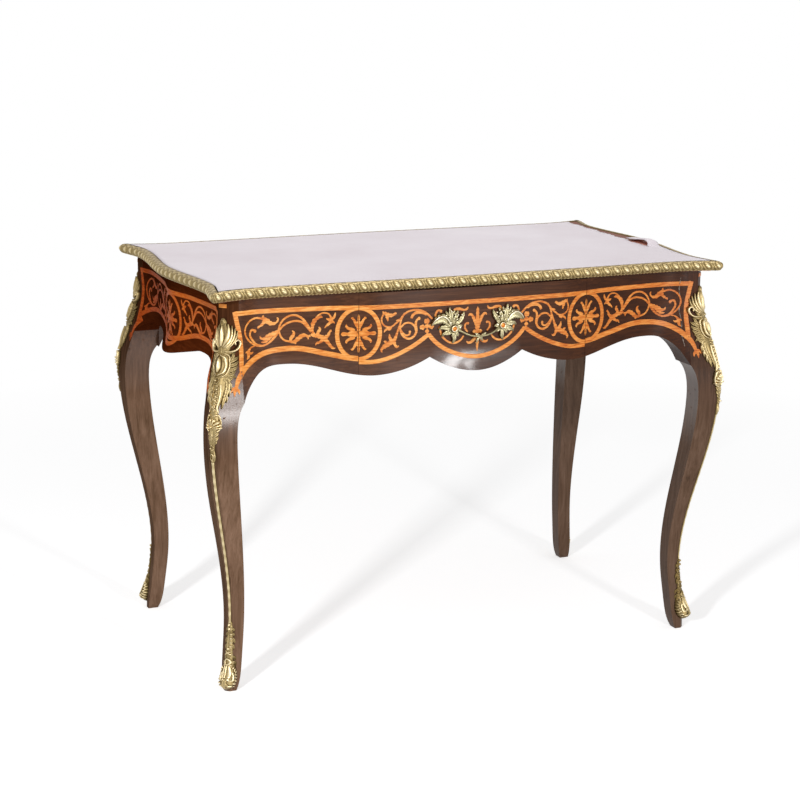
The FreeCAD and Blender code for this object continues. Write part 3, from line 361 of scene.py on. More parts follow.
# The ends' slips are painted redder for the shade on the ends, and darker towards the back.
END_INLAY_TONES = [(0.15, "#CC581A"), (0.45, "#E87024"), (0.75, "#F48838")]
FAR_INLAY_TONES = [(0.15, "#963810"), (0.45, "#B64C1A"), (0.75, "#CA6228")]
satinwood = orange_satinwood("satinwood_inlay", INLAY_TONES, 0.2, (SHADED_RIGHT_INLAY_TONES, "X", -0.05, 0.42))
end_satinwood = orange_satinwood("satinwood_inlay_end", END_INLAY_TONES, 0.02,
                                 (FAR_INLAY_TONES, "Y", -0.06, 0.06))
# A split in old veneer fills with pale dust and wax.
dust = mottled("dust_in_a_split", 4.0, 4.0, [(0.38, "#3A2A22"), (0.52, "#74665C"), (0.7, "#A89B90")],
               {"IOR": 1.5, "Roughness": 0.8})
print(satinwood.name, end_satinwood.name, dust.name)

# %% [markdown]
# ## Gilt brass
# The mounts were cast in brass, chased with small chisels and gilded, and the gilding has dulled with age.
# The eye sees olive gold, bright on the high parts that hands have rubbed, and nearly black in the hollows,
# which is partly grime and partly painted shade.
# Ornament below carries how high each point stands, and the finish turns that into colour and roughness.

# %% Brass
def aged_brass(name, tones, rough_low, rough_high):
    """Cast and chased brass, dark in its hollows from grime and painted shade, and rubbed bright on its high
    parts.
    """
    metal, place = new_finish(name)
    rise = add(metal, "Attribute", {"attribute_name": "rise"})
    cloud = add(metal, "TexNoise", {"Scale": per_mm(9.0), "Detail": 4.0, "Roughness": 0.6}, {"Vector": place})
    wear_and_shade = add(metal, "Mix", {"data_type": "FLOAT", 0: 0.26}, {2: rise.outputs["Fac"], 3: cloud})
    rough = add(metal, "MapRange", {"To Min": rough_low, "To Max": rough_high}, {"Value": wear_and_shade})
    # The matting punch leaves dots of about 1.6 mm between the leaves.
    dots = add(metal, "TexNoise", {"Scale": per_mm(1.6), "Detail": 2.0}, {"Vector": place})
    bump = add(metal, "Bump", {"Strength": 0.25, "Distance": 0.3 * MM}, {"Height": dots})
    show(metal, {"Metallic": 1.0},
         {"Base Color": toned(metal, place, wear_and_shade, tones), "Roughness": rough, "Normal": bump})
    return metal


BRASS_TONES = [(0.16, "#33260F"), (0.36, "#6E5C38"), (0.62, "#A8956A"), (0.88, "#DCCBA2")]
PALE_TONES = [(0.16, "#2A2012"), (0.40, "#6E6444"), (0.66, "#B3A985"), (0.92, "#EDE6CC")]
gilt_brass = aged_brass("aged_gilt_brass", BRASS_TONES, 0.62, 0.36)
print(gilt_brass.name)

# %% [markdown]
# ## Lines and grounds for ornament
# Scrolls, leaves and bands are all strokes: a line that swells and thins.
# A curve object with a bevel could draw them, but it can't follow a curved frieze.
# So a stroke is a list of points with a half width, and a smooth line is carried through them.

# %% Strokes
LEAF_HALF = 3.1
TOOTH_STEP, TOOTH_PITCH, TOOTH_DEPTH = 1.2, 7.0, 0.30
STEM_FULLER, LEAF_FULLER = 1.06, 1.16


def run_along(points):
    """Give the length of a line up to each of its points."""
    return np.concatenate([[0.0], np.cumsum(np.linalg.norm(np.diff(points, axis=0), axis=1))])


def through(points, step):
    """Carry a smooth line through rows of numbers, at about a step apart along the first two."""
    points = np.array(points, float)
    run = run_along(points[:, :2])
    slope = np.gradient(points, run, axis=0)
    at = np.linspace(0.0, run[-1], max(5, int(run[-1] / step) + 2))
    left = np.clip(np.searchsorted(run, at, side="right") - 1, 0, len(run) - 2)
    gap = (run[left + 1] - run[left])[:, None]
    t = (at - run[left])[:, None] / gap
    return (points[left] * (1 + 2 * t) * (1 - t) ** 2 + slope[left] * gap * t * (1 - t) ** 2
            + points[left + 1] * t ** 2 * (3 - 2 * t) + slope[left + 1] * gap * t ** 2 * (t - 1))


def sideways(rows):
    """Give the direction square to a line at each of its rows."""
    run = np.gradient(rows[:, :2], axis=0)
    run /= np.linalg.norm(run, axis=1, keepdims=True) + 1e-12
    return np.stack([-run[:, 1], run[:, 0]], axis=1)


def disc(x, z, radius):
    """Draw a round blob as one short stroke."""
    return [(x + radius * t, z, radius * math.sqrt(max(1 - t * t, 0.02)))
            for t in (-1.0, -0.85, -0.5, 0.0, 0.5, 0.85, 1.0)]


def oval_line(x, z, half_x, half_z, *more):
    """Draw an oval as a stroke that has one width all round."""
    angles = np.radians(np.linspace(0, 360, 25))
    return [(x + half_x * math.cos(a), z + half_z * math.sin(a), *more) for a in angles]


def fuller(strokes):
    """Widen the strokes of a drawing a little, and cut teeth into the edges of its leaves."""
    found = []
    for stroke in strokes:
        if max(p[2] for p in stroke) < LEAF_HALF:
            found.append([(x, z, half * STEM_FULLER) for x, z, half in stroke])
            continue
        rows = through(stroke, TOOTH_STEP)
        teeth = 1 - TOOTH_DEPTH * np.abs(np.cos(np.arange(len(rows)) * TOOTH_STEP * math.pi / TOOTH_PITCH))
        found.append([(x, z, half * LEAF_FULLER * t) for (x, z, half), t in zip(rows, teeth)])
    return found


def mirrored(strokes):
    """Give the strokes as they are in a looking glass that stands on the middle line."""
    return [[(-p[0], *p[1:]) for p in stroke] for stroke in strokes]


def across_middle(half):
    """Carry a stroke that ends on the middle line on to its mirror image."""
    return half + mirrored([half[:-1]])[0][::-1]


def ground(*names):
    """Make a search tree over some of the solids, so that ornament can be laid on them."""
    points, faces = [], []
    for name in names:
        first = len(points)
        points += [v.co.copy() for v in solids[name].data.vertices]
        faces += [[first + i for i in p.vertices] for p in solids[name].data.polygons]
    return BVHTree.FromPolygons(points, faces)


print("strokes ready")

# %% [markdown]
# ## The marquetry's drawing
# Each half of the front has a drawer panel with a palmette and a spiral, then a roundel.
# An outer panel of scrolls follows, up to the leg.
# The real one was pricked through paper and cut in pairs, so both halves match.
# The points below are in millimetres: across from the middle, height, and half the width of the line there.

# %% Drawing of the outer panel
TOP_BAND = [(470.5, 714.5, 4.3), (380, 713.8, 4.3), (300, 713.2, 4.3), (235, 712.0, 4.3)]
LOWER_BAND = [(477, 578, 2.6), (474, 588, 3.6), (469, 599, 4.6), (462, 608, 5.0), (450, 619, 5.0),
              (434, 629, 5.0), (416, 636.5, 5.0), (400, 640, 5.0), (380, 642, 5.0), (360, 642.5, 5.0),
              (340, 640.5, 5.0), (320, 636, 5.0), (300, 630.5, 5.0), (280, 626, 5.0), (260, 621, 5.0),
              (234, 617, 5.0)]
END_BAND = [(470.5, 718.5, 4.6), (466, 697, 4.4), (461.5, 675, 4.4), (459.8, 650, 4.4), (461, 628, 4.4),
            (462, 612, 4.4)]
LEG_FLEUR = [
    [(476, 584, 2.5), (479, 577, 2.8), (480, 569, 0.4)],
    [(475, 583, 2.0), (471, 578, 2.4), (470, 572, 0.5)],
    [(477, 585, 2.0), (483, 582, 2.2), (486, 577, 0.5)],
]
OUTER_SCROLLS = [
    [(384, 676, 3.2), (392, 665, 2.6), (402, 656, 2.1), (414, 651.4, 1.9), (426, 652.6, 1.8),
     (438, 659, 1.8), (447, 669, 1.7), (450.4, 679, 1.7), (447.6, 690, 1.7), (438, 699.4, 1.8),
     (428, 702.6, 1.9), (413, 700, 2.2)],
    [(384, 677, 1.5), (393, 672, 4.2), (404, 667, 4.8), (412, 663.5, 3.0), (418, 665, 2.0), (420, 669, 0.7)],
    [(396, 671, 3.0), (404, 662, 3.2), (412, 657.5, 2.2), (418, 658, 0.7)],
    [(413, 701, 2.0), (407, 697, 4.6), (399, 691, 4.2), (391, 690.5, 2.6), (386, 694, 1.7), (385, 699, 1.9),
     (387, 701, 0.6)],
    [(410, 697, 4.0), (414, 691, 3.0), (419, 687.5, 2.2), (423, 685, 1.8), (424, 683, 0.6)],
    [(411, 698, 3.0), (413, 703, 2.4), (413, 707, 0.5)],
    [(416, 651.5, 1.6), (426, 654, 1.8), (435, 663, 1.8), (440, 674, 1.8), (436.5, 681.5, 1.9),
     (430, 680.5, 1.8)],
    disc(429.5, 679, 3.0),
    [(430, 653, 1.0), (440, 650, 1.4), (445, 643, 2.8), (446, 634, 2.2), (449, 631, 0.8)],
    [(444, 644, 2.0), (449, 643.5, 1.6), (451, 642, 0.5)],
    [(445, 642, 2.2), (438, 640.5, 1.6), (435, 642.5, 0.6)],
    [(384, 677, 1.8), (382, 685, 1.7), (374, 697, 1.7), (362, 703, 1.7), (350, 702.6, 1.8), (340, 697, 2.0),
     (331, 685, 2.6), (322, 671, 1.8)],
    [(384, 676, 1.8), (374, 686, 1.7), (362, 691.4, 1.7), (350, 692.6, 1.8), (339, 689.5, 2.0),
     (331, 683, 3.0), (323, 671, 1.6)],
    [(383, 675, 1.6), (380.5, 667, 1.6), (374, 659, 1.6), (362, 655, 1.8)],
    [(364, 655.4, 1.6), (354, 654.5, 3.6), (346, 660.5, 4.2), (338, 665.5, 3.8), (331.5, 664.5, 2.6),
     (328, 660, 1.7), (328.5, 657.5, 0.6)],
    [(361, 655.5, 2.0), (360.5, 661, 3.0), (356, 667, 2.8), (355.5, 672.5, 1.8), (358.5, 675, 0.8)],
    [(353, 656, 3.0), (352, 650, 1.0)],
    disc(319, 666, 4.6),
    [(324, 664, 2.2), (329, 663.5, 1.0)],
    [(319.5, 668, 1.6), (320.5, 679, 3.0), (318, 689, 4.2), (312, 695.5, 3.4), (304, 698, 2.2),
     (301, 697, 0.8)],
    [(314, 697, 1.0), (306, 703.2, 1.3), (298, 705, 1.3), (290, 702.5, 1.4), (285.5, 696, 1.6)],
    [(286.5, 698, 1.5), (285, 690.5, 3.8), (289.5, 684.5, 2.8), (295, 680, 1.6), (297.5, 677, 0.6)],
    [(286, 693, 2.8), (281, 695, 2.2), (278, 701, 1.6), (277.5, 705, 0.5)],
    [(287, 692, 2.8), (292.5, 693.5, 1.6), (294.5, 695, 0.5)],
    [(285, 689, 2.8), (280.5, 687, 1.4), (279, 684.5, 0.5)],
    [(318, 664, 2.8), (308, 662, 4.0), (298, 657, 4.6), (290, 648, 3.2), (284, 640.5, 2.6),
     (279.5, 638, 1.6), (277, 639, 0.6)],
    [(311, 663, 2.8), (309.5, 670, 3.2), (306, 675.5, 2.4), (308.5, 679.5, 0.8)],
    [(297, 659, 3.6), (291, 662.5, 3.0), (288, 669, 2.2), (285.5, 671.5, 1.6), (284, 670, 0.6)],
    [(301, 655, 3.2), (308, 650.5, 2.4), (312.5, 649.5, 2.0), (314.5, 645.5, 0.6)],
]
OUTER_SCROLLS, LEG_FLEUR = fuller(OUTER_SCROLLS), fuller(LEG_FLEUR)
print("outer panel strokes", len(OUTER_SCROLLS))

# %% Drawing of the roundel
ROUNDEL_X, ROUNDEL_Z = 234.75, 664.0
CLUB = [(0, 0, 4.0), (4, 0, 5.0), (9, 0, 6.8), (14, 0, 6.4), (18, 0, 3.8), (20.5, 0, 2.7), (24, 0, 3.3),
        (28, 0, 3.8), (31, 0, 2.6), (32.2, 0, 0.8)]
CLUB_CURL = [(8, 5.5, 3.4), (13, 8.5, 3.2), (17.5, 10, 2.6), (21, 12.2, 2.3), (22.6, 15.2, 2.0),
             (21.6, 17.4, 0.8)]
TULIP = [(0, 0, 3.4), (5, 0, 2.8), (10, 0, 3.6), (15, 0, 5.0), (19, 0, 5.8), (22, 0, 3.6), (24, 0, 2.0),
         (28, 0, 2.3), (32, 0, 1.8), (36.5, 0, 0.5)]
TULIP_CURL = [(14, 3.0, 2.6), (19, 5.2, 2.8), (23.5, 7.4, 2.4), (27, 9.6, 2.0), (29.3, 12, 1.9),
              (28.2, 14, 0.8)]


def roundel(x, z, half_x, half_z):
    """Draw an oval ring with two clubs and two tulips that meet in its middle."""
    strokes = [oval_line(x, z, half_x, half_z, 3.9)]
    for angle in (0, 90, 180, 270):
        petal, curl = (CLUB, CLUB_CURL) if angle in (0, 180) else (TULIP, TULIP_CURL)
        cos, sin = math.cos(math.radians(angle)), math.sin(math.radians(angle))
        for shape in [petal] + [[(a, b * up, w) for a, b, w in curl] for up in (1, -1)]:
            strokes.append([(x + a * cos - b * sin, z + a * sin + b * cos, w) for a, b, w in shape])
    strokes.append(disc(x, z, 5.5))
    return strokes


FRONT_ROUNDEL = roundel(ROUNDEL_X, ROUNDEL_Z, 39.5, 47.5)
print("roundel strokes", len(FRONT_ROUNDEL))

# %% Drawing of the drawer's half
DRAWER_TOP_BAND = [(235, 712.0, 4.3), (120, 711.7, 4.3), (0, 711.7, 4.3)]
DRAWER_LOWER_BAND = [(234, 610.8, 4.0), (222, 610.2, 4.0), (200, 611, 4.0), (172, 617.5, 4.0),
                     (145, 628, 4.0), (121, 640.5, 4.0), (106, 650.5, 4.0), (98.5, 656, 3.6)]
DRAWER_LOBE_BAND = [(99, 656, 3.6), (94, 649.5, 4.0), (84, 639, 4.0), (72, 629.8, 4.0), (54, 620, 4.0),
                    (27, 610.8, 4.0), (0, 607.5, 4.0)]
DRAWER_SCROLLS = [
    [(189, 699, 1.4), (192.5, 690, 1.5), (190.5, 681, 1.5), (183, 675, 1.5), (174, 674, 1.5),
     (165, 679.5, 1.6), (156, 687, 1.7), (147, 697, 1.8), (136, 702, 1.7), (127, 703, 1.7),
     (114, 700.8, 1.8), (103, 694.5, 2.0), (92, 684, 1.6)],
    [(190, 699, 1.2), (187, 700, 2.8), (181, 697, 4.2), (174, 695.5, 3.6), (168, 697, 2.5),
     (164.5, 700, 1.8), (164, 697, 0.8)],
    [(182, 696, 3.8), (181, 690, 2.6), (180, 685, 0.8)],
    [(188, 699, 2.4), (190, 704, 0.8)],
    [(164, 685, 0.8), (160, 686, 1.6), (156, 686.5, 1.4)],
    [(181.5, 673.5, 1.0), (178, 670, 2.6), (174.5, 671.5, 2.0), (172, 674.5, 0.6)],
    [(180, 671.5, 2.0), (185, 668.5, 1.8), (187.5, 664.5, 0.7)],
    [(147.5, 698, 1.6), (153, 688.6, 1.6), (156, 677, 1.7), (155, 665, 1.8), (149, 654.5, 1.9),
     (138, 649.5, 2.0), (129, 653, 2.0), (123.6, 663, 2.2), (125, 674, 2.4), (124, 682, 2.0),
     (120, 686.5, 1.8)],
    disc(118.6, 686.6, 2.8),
    [(154.5, 672, 1.6), (147, 678.6, 1.7), (139.5, 679.8, 1.7), (132, 677, 1.7), (126.6, 671, 1.7),
     (124.6, 663, 1.7)],
    [(154.5, 667, 1.4), (149, 659.5, 1.6), (141.5, 656, 1.7), (136.8, 659, 1.7), (136.6, 662, 1.6)],
    disc(136.6, 662.5, 2.4),
    [(133.5, 687.5, 2.2), (132, 692, 2.6), (127, 696.5, 2.4), (120, 698.5, 3.0), (112, 697, 2.6),
     (104, 692, 1.2)],
    [(157, 677, 1.4), (160.5, 666, 2.0), (164, 656, 2.8), (168, 648, 4.2), (176, 644, 5.0), (185, 639, 4.6),
     (190.5, 635, 3.0), (192.5, 630, 1.9), (190.5, 627.5, 0.7)],
    [(172, 648, 3.0), (176, 654, 2.6), (177, 661, 0.7)],
    [(168, 646, 3.4), (165, 638.5, 2.6), (161, 635.5, 2.1), (158, 637.5, 0.9)],
    [(182, 643, 2.8), (186.5, 647.5, 1.4), (188, 647, 0.5)],
    disc(103.0, 680.6, 5.4), disc(112.0, 669.6, 5.2), disc(94.0, 670.2, 5.2), disc(102.4, 661.6, 4.0),
    disc(103, 671, 4.6),
    [(85, 685, 1.5), (85.5, 692, 1.8), (81.5, 698.5, 1.9), (76, 699, 1.9)],
    disc(75.0, 697.6, 2.7),
    [(51, 693, 1.2), (47.5, 698, 2.3), (38, 699.5, 2.6), (27, 697, 1.7), (22, 698.5, 1.8), (20, 702.5, 0.7)],
    [(77, 665, 1.8), (72.5, 651, 1.7), (61.5, 640, 1.7), (46, 635.4, 1.8), (34, 640.5, 1.7), (28, 648, 1.4)],
    disc(77.0, 666.0, 2.8),
    [(20, 655, 1.4), (25.5, 663, 1.8), (24.5, 670, 1.7), (20.5, 672, 1.6)],
    disc(19.6, 671.2, 2.2),
    [(2, 666, 2.8), (7, 678, 3.2), (11.5, 686, 2.6), (16.5, 688.5, 2.0), (18.5, 685, 0.8)],
    [(2, 646, 2.4), (7, 640.5, 2.7), (13, 635, 2.4), (19, 634.5, 1.8), (22, 637.5, 0.7)],
    disc(6.5, 655.0, 3.2),
]
DRAWER_AXIS = [
    [(0, 652, 3.0), (0, 664, 5.0), (0, 676, 4.6), (0, 688, 3.2), (0, 696, 3.0), (0, 701.5, 0.6)],
    [(0, 650, 2.0), (0, 641, 3.8), (0, 631, 3.0), (0, 617, 0.5)],
    disc(0.0, 655.0, 5.2),
]
DRAWER_SCROLLS, DRAWER_AXIS = fuller(DRAWER_SCROLLS), fuller(DRAWER_AXIS)
DRAWER_MIDDLE = [across_middle(DRAWER_TOP_BAND), across_middle(DRAWER_LOBE_BAND)] + DRAWER_AXIS
print("drawer strokes", len(DRAWER_SCROLLS))

# %% [markdown]
# ## Letting the inlay into the wood
# A real inlay lies level with the ground, a millimetre thick, and years of shrinking leave it just proud.
# Painting it on as a picture would need an image, so each stroke becomes a thin slip of wood instead.
# Points of the drawing are cast straight at the frieze, and a slip sits where they land.

# %% Inlay
INLAY_PROUD, INLAY_THICK, THINNEST = 0.22, 0.9, 0.25
# Slips that cross lie in turn at one of nine levels, a hair apart.
LEVELS, LEVEL_STEP = 9, 0.012
LONG_STEP, SHORT_STEP, STROKE_STEPS = 3.0, 0.8, 24
DRAWER_EDGE, DRAWER_GAP = 234.75, 0.5
RAY_START = 0.9
LEAST_TONE, TONE_SPREAD = 0.3, 0.4


def slip_rows(strokes):
    """Give points along the left edge, the middle and the right edge of each stroke, in millimetres."""
    for stroke in strokes:
        run = sum(math.dist(a[:2], b[:2]) for a, b in zip(stroke, stroke[1:]))
        rows = through(stroke, min(LONG_STEP, max(SHORT_STEP, run / STROKE_STEPS)))
        half = np.maximum(rows[:, 2:3], THINNEST)
        square = sideways(rows)
        yield [rows[:, :2] - square * half * share for share in (-1.0, 0.0, 1.0)]


def new_piece(name, mesh, finish, body="table"):
    """Put a mesh in the scene as a piece of the table that rides on a body."""
    mesh.materials.append(finish)
    piece = new_object(name, mesh)
    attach(piece, body)
    return piece


def thicken(piece, label, thickness, back_finish=0):
    """Give a sheet its thickness, behind the face that was drawn."""
    depth = piece.modifiers.new(label, "SOLIDIFY")
    depth.thickness, depth.offset, depth.material_offset = thickness, -1.0, back_finish


def lay_inlay(name, strokes, tree, out, low=-1000.0, high=1000.0, body="table", finish=satinwood):
    """Cut slips to the strokes, between two places on the drawing, and lay them on the faces of a tree."""
    out, along = Vector(out), Vector((abs(out[1]), abs(out[0]), 0.0))
    flat = bmesh.new()
    tone, side = flat.faces.layers.float.new("tone"), flat.verts.layers.float.new("side")
    level = flat.verts.layers.float.new("layer")
    for count, lines in enumerate(slip_rows(strokes)):
        own = LEAST_TONE + TONE_SPREAD * rng.random()
        corners = []
        for value, line in zip((-1.0, 0.0, 1.0), lines):
            made = [flat.verts.new((p[0], 0.0, p[1])) for p in line]
            for vert in made:
                vert[side], vert[level] = value, (count % LEVELS) * LEVEL_STEP
            corners.append(made)
        for one, other in zip(corners, corners[1:]):
            for i in range(len(one) - 1):
                flat.faces.new((one[i], one[i + 1], other[i + 1], other[i]))[tone] = own
    for place, outside in ((low, -1.0), (high, 1.0)):
        bmesh.ops.bisect_plane(flat, geom=flat.verts[:] + flat.edges[:] + flat.faces[:], dist=1e-5,
                               plane_co=(place, 0, 0), plane_no=(outside, 0, 0), clear_outer=True)
    missed = []
    for vert in flat.verts:
        start = along * vert.co.x * MM + Vector((0, 0, vert.co.z * MM)) + out * RAY_START
        spot, normal, _, _ = tree.ray_cast(start, -out)
        if spot is None or (spot - start).length > RAY_START:
            missed.append(vert)
            continue
        normal = normal if normal.dot(out) > 0 else -normal
        vert.co = spot + normal * (INLAY_PROUD + vert[level]) * MM
    bmesh.ops.delete(flat, geom=missed, context="VERTS")
    for face in flat.faces:
        face.normal_update()
        if face.normal.dot(out) < 0:
            face.normal_flip()
    mesh = bpy.data.meshes.new(name)
    flat.to_mesh(mesh)
    flat.free()
    thicken(new_piece(name, mesh, finish, body), "veneer thickness", INLAY_THICK * MM)
    print(name, "faces", len(mesh.polygons), "missed", len(missed))


OUTER_PANEL = [TOP_BAND, LOWER_BAND, END_BAND] + LEG_FLEUR + OUTER_SCROLLS + FRONT_ROUNDEL
INNER_PANEL = [DRAWER_LOWER_BAND] + DRAWER_SCROLLS
DRAWER_PANEL = INNER_PANEL + FRONT_ROUNDEL
FORWARD, BACKWARD = (0, -1, 0), (0, 1, 0)
front_ground = ground("frieze_front_left", "frieze_front_right", "leg_front_left", "leg_front_right")
drawer_ground = ground("drawer_front")
back_ground = ground("frieze_back", "leg_back_left", "leg_back_right")
lay_inlay("inlay_front_right", OUTER_PANEL, front_ground, FORWARD, low=DRAWER_EDGE + DRAWER_GAP)
lay_inlay("inlay_front_left", mirrored(OUTER_PANEL), front_ground, FORWARD, high=-DRAWER_EDGE - DRAWER_GAP)
lay_inlay("inlay_drawer", DRAWER_PANEL + mirrored(DRAWER_PANEL) + DRAWER_MIDDLE, drawer_ground, FORWARD,
          low=-DRAWER_EDGE + DRAWER_GAP, high=DRAWER_EDGE - DRAWER_GAP, body="drawer")
# Where the right leg's post has shrunk away from the front, a split runs down through the veneer.
SPLIT = [(449, 726, 0.5), (446.5, 705, 0.8), (449, 684, 0.5), (447, 660, 0.9), (451, 640, 0.5),
         (449.5, 618, 0.8), (454, 592, 0.4)]
lay_inlay("split_front_right", [SPLIT], front_ground, FORWARD, finish=dust)
BACK_HALF = OUTER_PANEL + INNER_PANEL
lay_inlay("inlay_back", BACK_HALF + mirrored(BACK_HALF) + DRAWER_MIDDLE, back_ground, BACKWARD)

# %% [markdown]
# ## The ends
# Each end has the outer panel's scrolls on both sides of one larger roundel.
# Its lower band follows the end's own apron, so the apron's edge is felt for with rays from below.

# %% Inlay of the ends
END_SHIFT = 229.0
APRON_TO_BAND, END_BAND_HALF = 27.5, 4.6
end_solid = ground("frieze_right")
band_points = []
for place in range(-232, 233, 8):
    face, _, _, _ = end_solid.ray_cast(Vector((RAY_START, place * MM, 0.70)), Vector((-1, 0, 0)))
    edge, _, _, _ = end_solid.ray_cast(Vector((face.x - 4 * MM, place * MM, 0.3)), Vector((0, 0, 1)))
    if edge is not None:
        band_points.append((place, edge.z / MM + APRON_TO_BAND, END_BAND_HALF))
END_PANEL = [[(p[0] - END_SHIFT, *p[1:]) for p in stroke]
             for stroke in [TOP_BAND, END_BAND] + LEG_FLEUR + OUTER_SCROLLS + [LOWER_BAND[:5]]]
END_MIDDLE = roundel(0.0, 661.0, 45.0, 48.5) + [band_points, [(-9, 712, 4.3), (0, 712, 4.3), (9, 712, 4.3)]]
WHOLE_END = END_PANEL + mirrored(END_PANEL) + END_MIDDLE
for name, out in (("right", 1), ("left", -1)):
    tree = ground("frieze_" + name, "leg_front_" + name, "leg_back_" + name)
    lay_inlay("inlay_end_" + name, WHOLE_END, tree, (out, 0, 0), finish=end_satinwood)

# %% [markdown]
# ## The ground of a leg's corner
# The mounts wrap round the outer corner of a leg, which swells, turns in and kicks out again at the foot.
# A flat casting bent with a modifier would not sit on both faces, so the corner is measured instead.
# Rays from outside find both faces at each height, and lengths along them become the ornament's coordinates.

# %% Measured corner
CORNERS = {"back_right": (1, 1), "back_left": (-1, 1), "front_right": (1, -1), "front_left": (-1, -1)}
CORNER = np.array([0.497, 0.270])
DIAGONAL, LATERAL = np.array([1.0, 1.0]) / math.sqrt(2), np.array([1.0, -1.0]) / math.sqrt(2)
# Rays start this far outside the corner, and a hit this far behind it is on something else.
CORNER_START, CORNER_DEEPEST = 0.2, -0.06
corner_tree = ground("leg_back_right", "frieze_back", "frieze_right")
ROW_STEP = 3.0
corner_heights = np.arange(2.0, 739.0, ROW_STEP)
corner_lengths = np.arange(-50.0, 50.5, 1.0)
offsets = np.arange(-40.0, 40.5, 0.75)
skin = np.zeros((len(corner_heights), len(corner_lengths), 3))
for row, height in enumerate(corner_heights):
    hits = []
    for offset in offsets:
        start = CORNER + DIAGONAL * CORNER_START + LATERAL * offset * MM
        spot, _, _, _ = corner_tree.ray_cast(Vector((*start, height * MM)), Vector((*(-DIAGONAL), 0)))
        if spot is not None and (np.array(spot[:2]) - CORNER) @ DIAGONAL > CORNER_DEEPEST:
            hits.append((offset, spot.x, spot.y))
    hits = np.array(hits)
    length = run_along(hits[:, 1:]) / MM
    length -= np.interp(0.0, hits[:, 0], length)
    skin[row, :, 0] = np.interp(corner_lengths, length, hits[:, 1])
    skin[row, :, 1] = np.interp(corner_lengths, length, hits[:, 2])
    skin[row, :, 2] = height * MM
# Pin holes let some rays in, so each row takes the middle one of five neighbours.
padded = np.concatenate([skin[:2], skin, skin[-2:]])
skin[..., :2] = np.median([padded[i:i + len(skin), :, :2] for i in range(5)], axis=0)
up_slope, side_slope = np.gradient(skin, axis=0), np.gradient(skin, axis=1)
skin_out = np.cross(side_slope, up_slope)
skin_out[np.linalg.norm(skin_out, axis=2) < 1e-12] = (*DIAGONAL, 0)
skin_out /= np.linalg.norm(skin_out, axis=2, keepdims=True)
if skin_out[len(skin) // 2, len(corner_lengths) // 2] @ np.array([*DIAGONAL, 0]) < 0:
    skin_out = -skin_out
for _ in range(6):
    skin_out[:, 1:-1] = (skin_out[:, :-2] + 2 * skin_out[:, 1:-1] + skin_out[:, 2:]) / 4
skin_out /= np.linalg.norm(skin_out, axis=2, keepdims=True)


def on_corner(x, z):
    """Find the points and outward directions at lengths round the corner and at heights, in millimetres."""
    column = np.clip(x - corner_lengths[0], 0, len(corner_lengths) - 1.001)
    row = np.clip((z - corner_heights[0]) / ROW_STEP, 0, len(corner_heights) - 1.001)
    c, r = column.astype(int), row.astype(int)
    fc, fr = (column - c)[..., None], (row - r)[..., None]
    found = []
    for table in (skin, skin_out):
        found.append((table[r, c] * (1 - fc) + table[r, c + 1] * fc) * (1 - fr)
                     + (table[r + 1, c] * (1 - fc) + table[r + 1, c + 1] * fc) * fr)
    return found


def corner_side(share, shift=0.0):
    """Give the corner as a ground whose end side is drawn narrower, and which is moved up by a shift."""
    return lambda x, z: on_corner(np.where(x > 0, x * share, x), z + shift)


print("corner rows", skin.shape)

# %% Inlay at the top of the posts
POST_STRIP = np.array([(x, z) for z in (726.5, 733.5) for x in (-7.5, -3.5, 0.0, 3.5, 7.5)])
POST_TONE = 0.45
strip_spot, strip_out = on_corner(POST_STRIP[:, 0], POST_STRIP[:, 1])
strip_points = strip_spot + strip_out * INLAY_PROUD * MM
for corner, (x, y) in CORNERS.items():
    strip_mesh = bpy.data.meshes.new("inlay_post_" + corner)
    order = (0, 1, 6, 5) if x * y > 0 else (5, 6, 1, 0)
    strip_mesh.from_pydata([tuple(p) for p in strip_points * np.array((x, y, 1))], [],
                           [tuple(k + i for k in order) for i in range(4)])
    strip_mesh.attributes.new("tone", "FLOAT", "FACE").data.foreach_set("value", [POST_TONE] * 4)
    strip = new_piece("inlay_post_" + corner, strip_mesh, satinwood)
    thicken(strip, "veneer thickness", INLAY_THICK * MM)
    print(strip.name, "faces", len(strip_mesh.polygons))

# %% [markdown]
# ## Casting ornament
# A founder's mount is a thin plate with leaves, ribs and beads standing on it, sharpened by a chaser.
# Sculpting would lose the drawing, so the mounts are strokes too, each a rounded ridge with a height.
# A leaf has a sunk vein and a frilled edge, and every ridge is a closed shell that sits in the plate below.

# %% Ridges
RIDGE_STEP = 1.0
ACROSS = np.array([-1.0, -0.93, -0.72, -0.4, -0.14, 0.0, 0.14, 0.4, 0.72, 0.93, 1.0])
SUNK = 1.2
# How dull or bright some kinds of ridge are drawn, from and to, which is partly wear and partly painted shade.
WEAR_AND_SHADE_LIMITS = {"bar": (0.35, 0.5), "prow": (0.2, 0.45), "strip": (0.6, 0.9)}
PLAIN_WEAR_AND_SHADE_LIMITS = (0.35, 1.0)
FRILL_PITCH, VEIN_PITCH, VEIN_SLANT, VEIN_DEPTH = 6.5, 2.6, 2.2, 0.22
THINNEST_RIDGE = 0.3


def ridge_profile(kind):
    """Give the height across a ridge, as a share of its crest."""
    round_top = np.sqrt(np.clip(1 - ACROSS ** 2, 0, 1))
    if kind == "leaf":
        return round_top * (0.72 + 0.28 * np.abs(ACROSS)) - 0.30 * np.exp(-(ACROSS / 0.2) ** 2)
    if kind in ("plate", "strip"):
        return np.clip(round_top * 1.8, 0, 1)
    if kind == "prow":
        return np.clip(1 - ACROSS ** 2, 0, 1) ** 0.8
    return round_top


